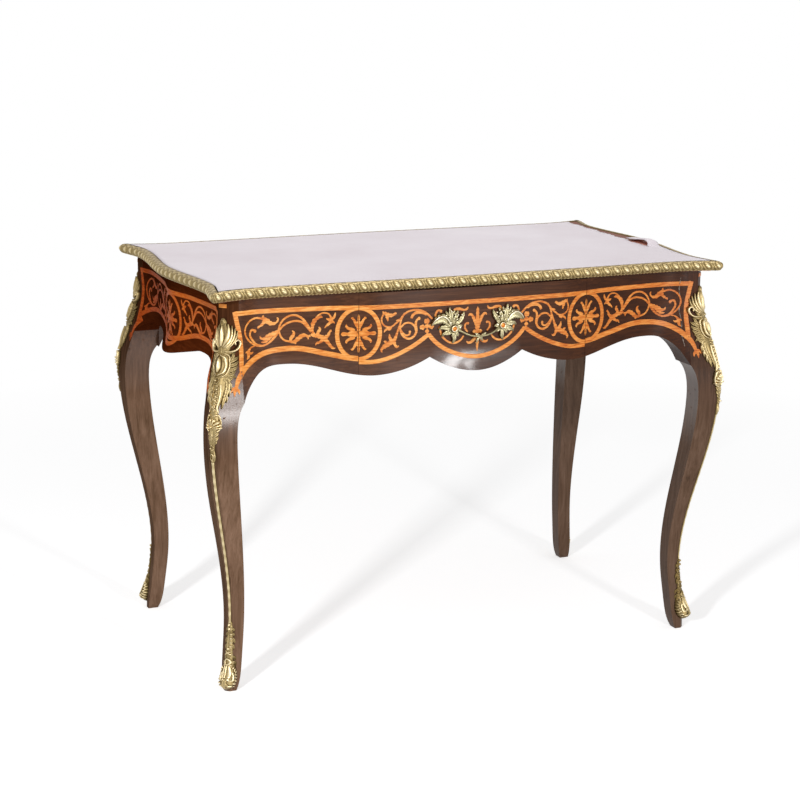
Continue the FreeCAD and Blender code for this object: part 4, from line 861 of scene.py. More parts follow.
def tube_faces(count, ring, first=0):
    """Give the faces of a tube of so many rings of points, with both ends shut."""
    faces = []
    for i in range(first, first + (count - 1) * ring, ring):
        faces += [(i + j, i + (j + 1) % ring, i + ring + (j + 1) % ring, i + ring + j) for j in range(ring)]
    last = first + (count - 1) * ring
    return faces + [tuple(first + j for j in reversed(range(ring))), tuple(last + j for j in range(ring))]


def cast(strokes, place, brightest_at=9.0):
    """Model ridges for strokes of (kind, points), on a ground that place finds for them.

    A point is across, height, half width, crest height and, if it is there, a lift off the ground.
    """
    points, faces, rises = [], [], []
    for kind, stroke in strokes:
        rows = through([p if len(p) == 5 else (*p, 0.0) for p in stroke], RIDGE_STEP)
        half = np.maximum(rows[:, 2], THINNEST_RIDGE)
        square = sideways(rows)
        share = np.tile(ridge_profile(kind), (len(rows), 1))
        if kind == "leaf":
            # A leaf has a frilled edge, and slanted veins are chased into both of its halves.
            run = run_along(rows[:, :2])
            half = half * (0.82 + 0.26 * np.abs(np.sin(run * math.pi / FRILL_PITCH)))
            vein = np.abs(np.sin(run[:, None] * math.pi / VEIN_PITCH - np.abs(ACROSS) * VEIN_SLANT))
            share = share * (1 - VEIN_DEPTH * vein * np.clip(np.abs(ACROSS) * 3, 0, 1))
        ring_across = np.concatenate([ACROSS, [0.8, -0.8]])
        x = rows[:, 0:1] + square[:, 0:1] * half[:, None] * ring_across
        z = rows[:, 1:2] + square[:, 1:2] * half[:, None] * ring_across
        crest, lift = np.maximum(rows[:, 3:4], THINNEST_RIDGE), rows[:, 4:5]
        height = np.concatenate([crest * share, np.full((len(rows), 2), -SUNK)], axis=1) + lift
        spot, out = place(x, z)
        faces += tube_faces(len(rows), len(ring_across), sum(len(p) for p in points))
        points.append((spot + out * height[..., None] * MM).reshape(-1, 3))
        # Low ridges get low rises, which the brass draws dark as grime and painted shade.
        depth = np.clip((crest + lift) / brightest_at, *WEAR_AND_SHADE_LIMITS.get(kind, PLAIN_WEAR_AND_SHADE_LIMITS))
        rises.append(np.concatenate([share * depth + 0.1, np.zeros((len(rows), 2))], axis=1).reshape(-1))
    return np.concatenate(points), faces, np.concatenate(rises)


def make_casting(name, shape, finish, flips=(1, 1, 1), body="table"):
    """Make a piece of brass from cast ridges, turned over for another corner where it is asked."""
    points, faces, rises = shape
    mesh = bpy.data.meshes.new(name)
    mesh.from_pydata([tuple(p) for p in points * np.array(flips)], [], faces)
    mesh.attributes.new("rise", "FLOAT", "POINT").data.foreach_set("value", rises.astype(np.float32))
    shell = bmesh.new()
    shell.from_mesh(mesh)
    bmesh.ops.recalc_face_normals(shell, faces=shell.faces[:])
    shell.to_mesh(mesh)
    shell.free()
    mesh.polygons.foreach_set("use_smooth", [True] * len(mesh.polygons))
    return new_piece(name, mesh, finish, body)


def both(strokes):
    """Give strokes and their mirror images."""
    return strokes + [(kind, mirrored([stroke])[0]) for kind, stroke in strokes]


def bead(x, z, radius, height, lift=0.0):
    """Model a round bead."""
    return ("rib", [(p[0], p[1], p[2], height * p[2] / radius, lift) for p in disc(x, z, radius)])


PETAL = ((0.2, 0.12, 0.7), (0.55, 0.34, 1.0), (0.85, 0.30, 0.9), (1.0, 0.08, 0.5))


def spread(kind, x, z, angles, blade):
    """Model copies of a blade, whose rows start with a distance, turned about a point."""
    return [(kind, [(x + r * math.cos(a), z + r * math.sin(a), *more) for r, *more in blade]) for a in angles]


def round_about(count):
    """Share out a turn between so many angles."""
    return [2 * math.pi * (i + 0.5) / count for i in range(count)]


def flower(x, z, radius, petals, height):
    """Model a flower of petals round a bead."""
    petal = [(radius * r, radius * w, height * h) for r, w, h in PETAL]
    return spread("leaf", x, z, round_about(petals), petal) + [bead(x, z, radius * 0.3, height * 1.15)]


print("ridges ready")

# %% [markdown]
# ## Corner mounts
# Each mount starts in a pierced tip, with a flame boss and a fan of leaf blades below it.
# A cabochon in scrolls follows, then a flower and a long acanthus leaf on each face.
# A shell, husks and a plaque end it.
# The front mounts and the back ones are modelled on the measured corner and turned over for the other side.

# %% Corner mount
MOUNT_PLATE = [("plate", [(0, z, half, crest) for z, half, crest in (
    (708, 4, 3.0), (703, 7.5, 3.4), (696, 8, 3.6), (690, 10, 3.8), (680, 16, 3.8), (670, 20, 3.8),
    (660, 21, 3.8), (652, 18, 3.8), (645, 17, 3.8), (636, 21, 3.8), (625, 27, 3.8), (612, 26, 3.8),
    (604, 23, 3.8), (596, 20, 3.8), (588, 20, 3.8), (575, 17, 3.8), (560, 13, 3.8), (552, 11, 3.8),
    (544, 11, 3.8), (534, 13, 3.8), (522, 13, 3.8), (512, 11, 3.8), (500, 10, 3.6), (490, 8, 3.6),
    (482, 6.5, 3.4), (475, 6, 3.2), (465, 6, 3.0), (454, 5, 2.6))])]
MOUNT_MIDDLE = [
    ("rib", oval_line(0, 701, 4.4, 4.4, 1.9, 5.5)),
    ("rib", [(0, 657, 3.6, 7.0), (0, 664, 5.6, 9.5), (0, 676, 6.0, 10.5), (0, 688, 4.6, 9.0),
             (0, 696, 1.4, 5.0)]),
    ("leaf", [(0, 642, 2.4, 6.0), (0, 648, 4.6, 8.0), (0, 655, 3.6, 7.5), (0, 660, 0.9, 5.5)]),
    ("rib", [(0, 612, 3.0, 8.0), (0, 617, 5.6, 11.0), (0, 625, 6.6, 12.0), (0, 633, 5.8, 11.0),
             (0, 639, 3.0, 8.0)]),
    ("leaf", [(0, 513, 3.4, 6.0), (0, 505, 4.6, 8.5), (0, 496, 3.8, 8.0), (0, 487, 1.0, 5.0)]),
    ("rib", oval_line(0, 464, 3.6, 5.6, 1.7, 5.5)),
    ("rib", [(0, 458, 3.4, 4.5), (0, 455, 4.0, 4.5), (0, 452.5, 2.5, 3.5)]),
    bead(0, 519, 3.4, 9.5),
]
for z, reach in ((566, 7.5), (553, 7)):
    for way in (-reach, reach):
        MOUNT_MIDDLE.append(("rib", [(way, z + 5, 1.5, 6.5), (0, z, 1.7, 7.5), (-way, z - 5, 1.5, 6.5)]))
MOUNT_MIDDLE += flower(0, 598, 7.6, 6, 9.3) + flower(0, 579, 5.6, 5, 8.5) + flower(0, 481, 6.4, 6, 8.0)
SHELL_BLADE = ((3, 1.25, 5.4), (11, 2.25, 9.0), (17.48, 2.5, 8.1), (19, 1.25, 4.5))
MOUNT_MIDDLE += spread("rib", 0, 516, np.radians(np.linspace(8, 172, 9)), SHELL_BLADE)
MOUNT_MIDDLE += [bead(-4.5, z, 2.3, 9.0) for z in range(547, 592, 6)]
MOUNT_SIDE = [
    ("rib", [(4, 656, 2.2, 6.0), (8, 668, 3.0, 8.5), (10.5, 684, 3.0, 8.0), (9.5, 698, 1.2, 5.0)]),
    ("rib", [(6, 655, 2.2, 6.0), (12, 667, 3.2, 8.0), (16, 681, 3.2, 7.5), (16, 695, 1.2, 4.5)]),
    ("rib", [(8, 655, 2.2, 6.0), (15, 664, 3.2, 7.5), (21, 677, 3.2, 7.0), (22.5, 690, 1.2, 4.5)]),
    ("rib", [(9, 654, 2.2, 6.0), (18, 661, 3.2, 7.0), (25, 672, 3.2, 6.5), (28, 684, 1.2, 4.0)]),
    ("rib", [(7, 649, 2.4, 6.0), (17, 648, 2.8, 7.0), (26, 650, 3.0, 8.0), (32, 656, 3.1, 8.5),
             (32.5, 664, 3.0, 9.0), (27, 668, 2.8, 9.0), (22.5, 664, 2.6, 9.0), (24.5, 659.5, 2.4, 8.5)]),
    ("leaf", [(3, 640, 2.4, 7.0), (10, 645, 3.8, 8.0), (17, 646, 3.2, 7.5), (23, 643, 1.0, 5.0)]),
    ("rib", [(1.5, 643, 1.6, 8.0), (7.5, 640, 2.1, 9.0), (10.4, 632, 2.2, 9.5), (10.6, 621, 2.2, 9.5),
             (8, 611, 2.0, 9.0), (2, 606.5, 1.6, 8.0)]),
    ("rib", [(8, 645, 1.8, 6.5), (14, 641, 2.3, 7.5), (17.5, 632, 2.5, 8.0), (17, 620, 2.5, 8.0),
             (13, 610, 2.3, 7.5), (7, 604, 1.8, 6.5)]),
    ("leaf", [(11, 602, 4.0, 7.0), (18, 599, 6.0, 8.0), (21.5, 590, 6.6, 8.5), (20.5, 578, 5.8, 8.0),
              (18, 567, 4.6, 7.0), (16.4, 558, 3.0, 6.0), (16, 550, 0.9, 3.5)]),
    ("rib", [(21, 596, 2.2, 6.0), (27, 590, 2.6, 6.5), (29, 581, 1.0, 4.0)]),
    ("rib", [(21, 585, 2.2, 6.0), (26, 579, 2.6, 6.5), (27, 570, 1.0, 4.0)]),
    ("rib", [(19, 574, 2.2, 6.0), (23, 568, 2.4, 6.0), (23, 560, 1.0, 4.0)]),
    ("leaf", [(10, 600, 2.6, 6.0), (20, 604, 3.4, 7.5), (29, 605, 2.8, 7.0), (36, 601, 1.0, 4.0)]),
    ("rib", [(8.4, 592, 1.8, 7.0), (9.4, 580, 1.9, 7.5), (9.0, 565, 1.9, 7.5), (7.8, 552, 1.8, 7.0),
             (10, 544, 1.8, 7.0)]),
    ("rib", [(9, 511, 1.9, 6.0), (14, 516, 2.2, 7.0), (15.5, 524, 2.3, 7.5), (13.5, 533, 2.3, 8.0),
             (9, 540, 2.2, 8.5), (5, 538, 2.0, 8.5)]),
    ("leaf", [(2, 500, 2.4, 6.0), (6, 503, 3.3, 7.5), (10, 507, 2.6, 7.0), (13, 511, 0.9, 4.5)]),
    ("leaf", [(2, 492, 2.2, 6.0), (6, 495, 3.1, 7.0), (10, 499, 2.3, 6.5), (12, 503, 0.8, 4.0)]),
    ("leaf", [(1.5, 485, 2.0, 5.5), (5, 488, 2.7, 6.5), (8, 491, 1.9, 6.0), (9.6, 495, 0.7, 4.0)]),
    ("rib", [(4.8, 476, 1.3, 4.0), (6.0, 466, 1.5, 5.0), (4.8, 456, 1.3, 4.0)]),
]
for tip, z in ((27, 643), (34, 636), (36, 628), (35, 620), (33, 612), (31, 604)):
    MOUNT_SIDE.append(("leaf", [(15, 622 + (z - 624) * 0.6, 3.0, 6.0), (23, z - 4, 4.2, 7.5),
                                (tip - 4, z - 1, 3.8, 7.0), (tip, z + 3, 1.2, 4.0)]))
MOUNT = MOUNT_PLATE + MOUNT_MIDDLE + both(MOUNT_SIDE)
# Back mounts keep more width round the end of the table than front ones, which are bent back, and are duller.
MOUNT_SET = {"back": (0.85, 0.72), "front": (0.38, 0.95)}
BRIGHT_LINE, BRIGHT_BLEND, BRIGHT_GAIN = 0.605, 0.05, 0.28
for corner, (x, y) in CORNERS.items():
    end_share, wear_and_shade = MOUNT_SET[corner.split("_")[0]]
    points, faces, rises = cast(MOUNT, corner_side(end_share))
    # The lower half of the mount is drawn brighter than the upper.
    brighter_low = np.clip((BRIGHT_LINE - points[:, 2]) / BRIGHT_BLEND, 0, 1)
    shape = (points, faces, rises * (wear_and_shade + BRIGHT_GAIN * brighter_low))
    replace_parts(make_casting("mount_" + corner, shape, gilt_brass, (x, y, 1)), "corner_mount_" + corner)
print("mount points", len(points))

# %% [markdown]
# ## Fillets and sabots
# A thin brass fillet guards the arris of each leg between the mount and the foot.
# The sabot climbs from the floor in a shell with a beaded rim, a scroll with a nail, and two husk leaves.
# Both are cast in the same way on the same measured corner.

# %% Fillets and sabots
FILLET = [("strip", [(0, 453 - 9 * i, 3.6 - 0.02 * i - 0.3 * (i % 2), 2.8 - 0.6 * (i % 2))
                     for i in range(37)])]
PROW = [(0, 96, 6, 3.0), (0, 80, 9, 4.0), (0, 66, 13, 6.0), (0, 52, 17, 9.5), (0, 42, 18.5, 13.5),
        (0, 32, 17, 17.5), (0, 25, 14, 18.0), (0, 20, 10, 14.0), (0, 17, 6, 9.0)]
PROW_UP = PROW[::-1]


def prow_level(x, z):
    """Find how far the sabot's prow stands out at a place."""
    half = np.interp(z, [p[1] for p in PROW_UP], [p[2] for p in PROW_UP])
    crest = np.interp(z, [p[1] for p in PROW_UP], [p[3] for p in PROW_UP])
    return float(crest * max(1 - (x / half) ** 2, 0.0) ** 0.8) if z < PROW[0][1] else 0.0


def on_prow(strokes):
    """Lift ridges on to the prow."""
    return [(kind, [(x, z, half, crest, prow_level(x, z) - 0.6) for x, z, half, crest, *_ in stroke])
            for kind, stroke in strokes]


SABOT_UPPER = [
    ("plate", [(0, 143, 4.5, 2.0), (0, 125, 6, 2.2), (0, 105, 7.5, 2.6), (0, 88, 8, 3.0), (0, 74, 10, 3.4)]),
    ("leaf", [(0, 144, 4.4, 3.5), (0, 135, 6.0, 5.0), (0, 127, 5.4, 5.5), (0, 121, 1.4, 3.5)]),
    ("leaf", [(0, 122, 5.0, 4.0), (0, 112, 6.8, 5.5), (0, 100, 7.4, 6.0), (0, 91, 5.6, 6.0),
              (0, 85, 2.0, 4.0)]),
    ("rib", [(-7, 88, 1.6, 4.0), (0, 85, 2.0, 6.0), (7, 81, 1.8, 5.0)]),
    ("rib", [(7, 88, 1.6, 4.0), (0, 84, 2.0, 6.0), (-7, 81, 1.8, 5.0)]),
]
SABOT_UPPER_SIDE = [
    ("leaf", [(4, 132, 2.0, 3.5), (7.5, 128, 2.4, 4.0), (9, 124, 0.8, 2.5)]),
    ("leaf", [(4, 122, 2.0, 3.5), (7.5, 119, 2.4, 4.5), (9, 115, 0.8, 2.5)]),
    ("leaf", [(5, 113, 2.4, 4.0), (9, 107, 3.0, 4.5), (10.5, 101, 0.9, 2.5)]),
    ("leaf", [(5, 101, 2.4, 4.0), (8.5, 95, 2.8, 4.5), (9.5, 90, 0.9, 2.5)]),
]
SABOT_PROW = [("rib", oval_line(0, 68, 4.6, 5.4, 1.9, 3.0)),
              ("leaf", [(0, 38, 2.6, 2.5), (0, 31, 4.2, 3.5), (0, 25, 4.0, 3.5), (0, 20, 2.0, 2.5)]),
              ("rib", [(0, 61, 1.9, 2.5), (0, 50, 2.1, 3.0), (0, 40, 1.2, 2.5)])]
SABOT_PROW_SIDE = [
    ("leaf", [(4, 76, 2.4, 3.0), (9, 77, 3.2, 3.5), (13, 74, 2.4, 3.0), (15, 70, 0.9, 2.0)]),
    ("leaf", [(5, 66, 2.4, 3.0), (10, 67, 3.2, 3.5), (14.5, 64, 2.4, 3.0), (16, 60, 0.9, 2.0)]),
    ("rib", [(3.6, 61, 1.7, 2.5), (4.6, 50, 1.9, 3.0), (4.0, 40, 1.2, 2.5)]),
    ("rib", [(6.5, 50, 1.4, 2.2), (8, 42, 1.6, 2.6), (6, 35, 1.4, 2.4), (3.5, 36, 1.3, 2.4),
             (4, 39, 1.2, 2.2)]),
]
RIM_BEADS = ((5, 62), (8.6, 57), (11, 51.5), (12, 46), (12, 40.5), (11, 35), (8.6, 30), (5, 26))
SABOT_PROW_SIDE += [bead(x, z, 2.1, 3.4) for x, z in RIM_BEADS]
for angle in np.radians(66 - 18 * np.arange(8)):
    cos, sin = math.cos(angle), math.sin(angle)
    SABOT_PROW_SIDE.append(("rib", [(3 + out * cos, 40 + up * sin, half, crest) for out, up, half, crest in (
        (10, 17, 1.3, 2.6), (13, 19.5, 1.8, 4.4), (16, 21.5, 1.2, 2.4))]))
SABOT_UPPER += [bead(0, z, 3.4, 7.0) for z in (138, 130, 92)]
SABOT_UPPER += [bead(-4, z, 2.4, 6.5) for z in (120, 112, 104, 97)]
SABOT = SABOT_UPPER + both(SABOT_UPPER_SIDE) + [("prow", PROW)] + on_prow(SABOT_PROW + both(SABOT_PROW_SIDE))
FILLET_SHARE, FILLET_BRIGHTEST_AT, SABOT_SHARE = 0.7, 3.2, 0.6
fillet_shape = cast(FILLET, corner_side(FILLET_SHARE), FILLET_BRIGHTEST_AT)
# The sabots were nailed on by eye, so they don't sit at quite the same height, and they are not drawn equally
# bright.
SABOT_SET = {"back_right": (0.0, 9.0), "back_left": (-5.0, 7.0), "front_right": (3.0, 14.0),
             "front_left": (-11.0, 6.3)}
for corner, (x, y) in CORNERS.items():
    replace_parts(make_casting("fillet_" + corner, fillet_shape, gilt_brass, (x, y, 1)), "leg_fillet_" + corner)
    shift, brightest_at = SABOT_SET[corner]
    sabot_shape = cast(SABOT, corner_side(SABOT_SHARE, shift), brightest_at)
    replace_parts(make_casting("foot_" + corner, sabot_shape, gilt_brass, (x, y, 1)), "sabot_" + corner)
print("sabot points", len(sabot_shape[0]))

# %% [markdown]
# ## Drawer handle
# The handle is one casting: two open flowers and a swagged bar between them.
# A big curled leaf and a spiky crest stand beside each flower.
# The flowers hold it off the drawer, so the bar leaves room for fingertips.
# It is cast on the drawer's front like the mounts, with a lift that raises the bar.

# %% Handle
handle_places = np.arange(-110.0, 111.0, 5.0)
# The rays pass above the handle's bolt holes.
handle_levels = np.array([drawer_ground.ray_cast(Vector((x * MM, -RAY_START, 0.695)), Vector((0, 1, 0)))[0].y
                          for x in handle_places])


def on_drawer(x, z):
    """Find points and outward directions on the drawer's front."""
    spot = np.stack([x * MM, np.interp(x, handle_places, handle_levels), z * MM], axis=-1)
    return spot, np.broadcast_to(np.array(FORWARD, float), spot.shape)


HANDLE_SIDE = [
    ("leaf", [(57, 668, 3.0, 4.0, 3.0), (64, 678, 6.0, 5.0, 4.0), (74, 684, 7.5, 5.0, 4.0),
              (84, 681, 6.0, 4.5, 3.5), (91, 676, 3.0, 3.5, 3.0), (95, 672, 0.8, 2.5, 2.5)]),
    ("rib", [(58, 672, 1.4, 4.0, 6.0), (66, 684, 1.6, 4.5, 6.5), (76, 689, 1.6, 4.5, 6.0),
             (87, 684, 1.5, 4.0, 5.0), (95, 674, 0.8, 3.0, 3.0)]),
    ("leaf", [(58, 665, 2.6, 3.5, 3.0), (67, 667, 4.4, 4.5, 3.5), (74, 667, 3.2, 4.0, 3.0),
              (80, 663, 0.9, 2.5, 2.0)]),
    ("leaf", [(56, 660, 2.6, 3.5, 3.0), (64, 657, 4.0, 4.5, 3.5), (70, 655, 2.6, 4.0, 3.0),
              (74, 650, 0.8, 2.5, 2.0)]),
    ("leaf", [(50, 655, 2.6, 3.5, 3.0), (49, 648, 3.6, 4.5, 3.5), (50, 641, 2.4, 4.0, 3.0),
              (52, 636, 0.8, 2.5, 2.0)]),
    ("leaf", [(53, 673, 2.8, 3.5, 3.0), (56, 684, 4.4, 5.0, 4.0), (58, 694, 3.4, 4.5, 4.0),
              (60, 704, 0.8, 2.5, 4.0)]),
    ("leaf", [(49, 674, 2.6, 3.5, 3.0), (47, 684, 3.8, 4.5, 3.5), (44, 692, 2.4, 4.0, 3.0),
              (43, 698, 0.8, 2.5, 3.0)]),
    ("leaf", [(44, 671, 2.6, 3.5, 3.0), (37, 680, 4.0, 4.5, 3.5), (32, 688, 2.6, 4.0, 3.0),
              (30, 695, 0.8, 2.5, 3.0)]),
    ("leaf", [(55, 690, 1.6, 3.0, 4.0), (51, 695, 2.0, 3.5, 4.0), (50, 699, 0.7, 2.5, 4.0)]),
    ("leaf", [(60, 688, 1.6, 3.0, 4.0), (65, 693, 2.0, 3.5, 4.0), (67, 698, 0.7, 2.5, 4.0)]),
    ("bar", [(42, 661, 2.2, 4.0, 4.0), (35, 657.5, 1.9, 4.0, 8.0), (27, 653.5, 1.6, 3.0, 11.0),
             (15, 649.6, 1.5, 2.8, 12.5), (0, 648.2, 1.7, 3.0, 13.0)]),
    bead(38.5, 666, 3.0, 4.5, 4.0),
]
HANDLE_MIDDLE = [
    ("leaf", [(-10, 654, 1.4, 3.0, 12.0), (-4, 649, 3.4, 4.4, 12.0), (2, 644, 3.0, 4.4, 12.0),
              (6, 638, 0.8, 3.0, 11.0)]),
    ("leaf", [(12, 654, 1.2, 3.0, 12.0), (6, 650, 3.0, 4.4, 12.0), (0, 647, 2.0, 4.4, 12.0)]),
    ("leaf", [(-2, 646, 1.6, 3.0, 12.0), (-6, 641, 2.4, 4.0, 12.0), (-7, 636, 0.8, 3.0, 11.0)]),
]
OPEN_PETAL = ((5.2, 1.8, 3.0, 3.0), (9, 3.6, 5.5, 4.0), (13, 3.6, 5.5, 4.5), (17.5, 0.9, 3.0, 4.5))


def open_flower(x, z):
    """Model an open flower with a hollow middle, on a short post that reaches the drawer."""
    rim, post = oval_line(x, z, 5.2, 5.2, 1.3, 4.5, 4.5), oval_line(x, z, 7.0, 7.0, 2.4, 3.6, 0.0)
    return spread("leaf", x, z, round_about(9), OPEN_PETAL) + [("rib", rim), ("plate", post)]


WIDER, HIGHER = 1.3, 1.2
HANDLE_SIDE = [(kind, [(x, z, half * WIDER, crest * HIGHER, lift) for x, z, half, crest, lift in stroke])
               for kind, stroke in HANDLE_SIDE]
LEAF_BEADS = ((58, 676), (62, 686), (52, 684), (46, 682), (40, 682), (57, 697), (50, 692), (36, 690),
              (68, 690), (44, 690))
HANDLE_SIDE += [bead(x, z, 2.3, 5.0, 6.0) for x, z in LEAF_BEADS]
FLOWER_X, FLOWER_Z = 50, 664
flowers = open_flower(FLOWER_X, FLOWER_Z) + open_flower(-FLOWER_X, FLOWER_Z)
handle_shape = cast(both(HANDLE_SIDE) + HANDLE_MIDDLE + flowers, on_drawer)
handle_brass = aged_brass("aged_pale_brass", PALE_TONES, 0.55, 0.28)
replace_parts(make_casting("handle", handle_shape, handle_brass, body="drawer"), "drawer_handle")
# The buttons in the flowers, and the bolts behind them, are copper under old lacquer, and show orange.
copper = mottled("lacquered_copper", 2.0, 4.0, [(0.3, "#A85E28"), (0.7, "#E09A50")],
                 {"Metallic": 1.0, "Roughness": 0.5})
buttons = [bead(x, FLOWER_Z, 6.0, 5.0, 4.0) for x in (FLOWER_X, -FLOWER_X)]
make_casting("handle_buttons", cast(buttons, on_drawer), copper, body="drawer")
print("handle points", len(handle_shape[0]), "face", round(handle_levels.min(), 4))

# %% [markdown]
# ## Egg and leaf edge
# A heavy brass moulding holds the leather. Its nose is chased with eggs in cups, one every 22 mm, and leaves.
# An array of one egg would break at the curved corners, so the moulding is swept round the measured outline.
# Each point of the sweep is pushed in by how deep the pattern is there.

# %% Outline of the top
def outline_of(names, height, count=3600):
    """Measure the plan of some solids at a height, with rays that come in from all round."""
    tree = ground(*names)
    found = []
    for angle in np.linspace(0.0, 2 * math.pi, count, endpoint=False):
        inward = Vector((-math.cos(angle), -math.sin(angle), 0.0))
        spot, _, _, _ = tree.ray_cast(Vector((0, 0, height)) - inward * RAY_START, inward)
        found.append((spot.x, spot.y))
    return np.array(found)


def evenly(points, count):
    """Place points evenly along a line, from its start to its end."""
    run = run_along(points)
    at = np.linspace(0.0, run[-1], count)
    return np.stack([np.interp(at, run, points[:, 0]), np.interp(at, run, points[:, 1])], axis=1)


def corner_rows(outline):
    """Find where an outline passes its corners, from the right one at the back round by the left."""
    ways = np.array([(0.9, 1.0), (-0.9, 1.0), (-0.9, -1.0), (0.9, -1.0)])
    return [int(i) for i in np.argmax(outline @ ways.T, axis=0)]


EDGE_NAMES = ["edge_moulding_" + side for side in ("front", "back", "left", "right")]
NOSE_HEIGHT = 0.7505
nose = outline_of(EDGE_NAMES, NOSE_HEIGHT)
nose = np.vstack([nose, nose[:1]])
edge_low, edge_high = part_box("edge_moulding_front")[0].z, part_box("edge_moulding_front")[1].z
EGG_PITCH = 22.0
SECTIONS = 20
nose_length = run_along(nose)[-1]
eggs = 4 * round(nose_length / MM / EGG_PITCH / 4)
loop = evenly(nose, eggs * SECTIONS + 1)[:-1]
print("edge", round(nose_length, 3), "m", eggs, "eggs")

# %% Moulding
EDGE_DEPTH, RELIEF_DEPTH = 0.019, 0.0030
NOSE_SHARE, LIP_SHARE = 0.62, 0.8
BOW_TOP, BOW_SWEEP = 88, 166
turns = np.linspace(0.0, 1.0, 23)
bow, top = np.radians(BOW_TOP - BOW_SWEEP * turns), math.radians(BOW_TOP)
profile_in = EDGE_DEPTH * NOSE_SHARE * (1 - np.cos(bow)) / (1 - math.cos(top))
profile_up = 0.5 + 0.5 * np.sin(bow) / math.sin(top)
run = np.gradient(np.vstack([loop[-2:], loop, loop[:2]]), axis=0)[2:-2]
run /= np.linalg.norm(run, axis=1, keepdims=True)
outward = np.stack([run[:, 1], -run[:, 0]], axis=1)
# The directions are smoothed, so that sections don't cross at the corners.
for _ in range(10):
    outward = (np.roll(outward, 1, axis=0) + outward + np.roll(outward, -1, axis=0)) / 3
outward /= np.linalg.norm(outward, axis=1, keepdims=True)
# The pattern slants a little.
# Its sizes are shares of an egg's pitch along the edge, and of the turn down the nose.
SLANT, SLANT_FROM = 0.5, 0.44
EGG_HALF, EGG_TURN, EGG_TURN_HALF = 0.24, 0.45, 0.25
station = np.arange(len(loop))[:, None] / SECTIONS
turn = turns[None, :]
phase = (station - SLANT * (turn - SLANT_FROM)) % 1.0
beside = phase - 0.5
from_egg = np.sqrt((beside / EGG_HALF) ** 2 + ((turn - EGG_TURN) / EGG_TURN_HALF) ** 2)
egg = np.sqrt(np.clip(1 - from_egg ** 2, 0, 1))
cup = 0.55 * np.exp(-((from_egg - 1.65) / 0.28) ** 2)
pearl = 0.9 * np.exp(-((np.abs(beside) - 0.5) / 0.10) ** 2 - ((turn - 0.20) / 0.08) ** 2)
scallop = 0.85 * np.abs(np.sin(3 * math.pi * phase)) ** 0.7 * np.clip((turn - 0.78) / 0.08, 0, 1)
relief = np.max(np.broadcast_arrays(egg, cup, pearl, scallop), axis=0)
dip_in = profile_in[None, :] + RELIEF_DEPTH * (1 - relief)
dip_in[:, 0] = EDGE_DEPTH * LIP_SHARE


def between(first, middle, last):
    """Give each section of the sweep a first and a last value, on both sides of its middle ones."""
    return np.concatenate([np.full((len(loop), 1), first), middle, np.full((len(loop), 1), last)], axis=1)


section_in = between(EDGE_DEPTH, dip_in, EDGE_DEPTH)
# The rise is low in the pattern's hollows, on the lip and under the nose, so the brass draws them dark, partly
# as grime and partly as painted shade.
section_rise = between(0.25, 0.34 + 0.60 * relief, 0.1)
section_up = np.concatenate([[edge_high], edge_low + (edge_high - edge_low) * profile_up, [edge_low]])
ring = section_in.shape[1]
edge_points = np.zeros((len(loop), ring, 3))
edge_points[..., :2] = loop[:, None, :] - outward[:, None, :] * section_in[..., None]
edge_points[..., 2] = section_up[None, :]
tips = corner_rows(loop)
for side, first, last in (("back", 0, 1), ("left", 1, 2), ("front", 2, 3), ("right", 3, 0)):
    count = (tips[last] - tips[first]) % len(loop)
    chosen = [(tips[first] + i) % len(loop) for i in range(count + 1)]
    faces = tube_faces(count + 1, ring)
    shape = (edge_points[chosen].reshape(-1, 3), faces, section_rise[chosen].reshape(-1))
    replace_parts(make_casting("egg_moulding_" + side, shape, gilt_brass), "edge_moulding_" + side)
print("moulding points", len(loop) * ring)

# %% [markdown]
# ## Leather top
# The top is lined with smooth leather, faded to a pale pinkish grey, and stained where hands rested.
# Along the right rear edge it has torn off in a strip, and one end of the strip curls up over the bare board.
# The sheet is a fine grid stretched between the four edges, and its torn strip is left out or lifted.

# %% Leather finish
leather, place = new_finish("faded_writing_leather")
stain = add(leather, "TexNoise", {"Scale": per_mm(260.0), "Detail": 5.0, "Roughness": 0.6}, {"Vector": place})
# The pebbles of fine leather are near 0.6 mm, and are drawn at 1.5 mm so that they show.
pebbles = add(leather, "TexVoronoi", {"Scale": per_mm(1.5)}, {"Vector": place})
specks = add(leather, "TexNoise", {"Scale": per_mm(7.0), "Detail": 6.0, "Roughness": 0.75}, {"Vector": place})
tint = toned(leather, place, stain, [(0.3, "#D6CCD1"), (0.55, "#DED6DB"), (0.75, "#E4DDE1")])
marks = add(leather, "MapRange", {"From Min": 0.68, "From Max": 0.80, "To Min": 0.0, "To Max": 0.4},
            {"Value": specks})
marked = add(leather, "Mix", {"data_type": "RGBA", 7: linear("#A99CA0")}, {0: marks, 6: tint})
grain = add(leather, "Bump", {"Strength": 0.18, "Distance": 0.2 * MM}, {"Height": pebbles})
show(leather, {"IOR": 1.5, "Roughness": 0.5, "Specular IOR Level": 0.25},
     {"Base Color": marked.outputs[2], "Normal": grain})
# The flesh side is pale pink, partly its own colour and partly painted light for the shaded hollow under the
# lifted strip.
hide_back = mottled("leather_flesh_side", 3.0, 6.0, [(0.3, "#94503E"), (0.6, "#BC7660"), (0.8, "#D49C88")],
                    {"IOR": 1.5, "Roughness": 0.85})
print(leather.name, hide_back.name)

# %% Leather sheet
LEATHER_X, LEATHER_Y, LEATHER_THICK = 120, 120, 1.4
LEATHER_HEIGHT = 0.75925
rim = outline_of(["leather_top"], LEATHER_HEIGHT)


def rim_side(first, last, count):
    """Place points evenly along one side of the leather, from one corner to the next."""
    chosen = [rim[i % len(rim)] for i in range(first, first + (last - first) % len(rim) + 1)]
    return evenly(np.array(chosen), count + 1)


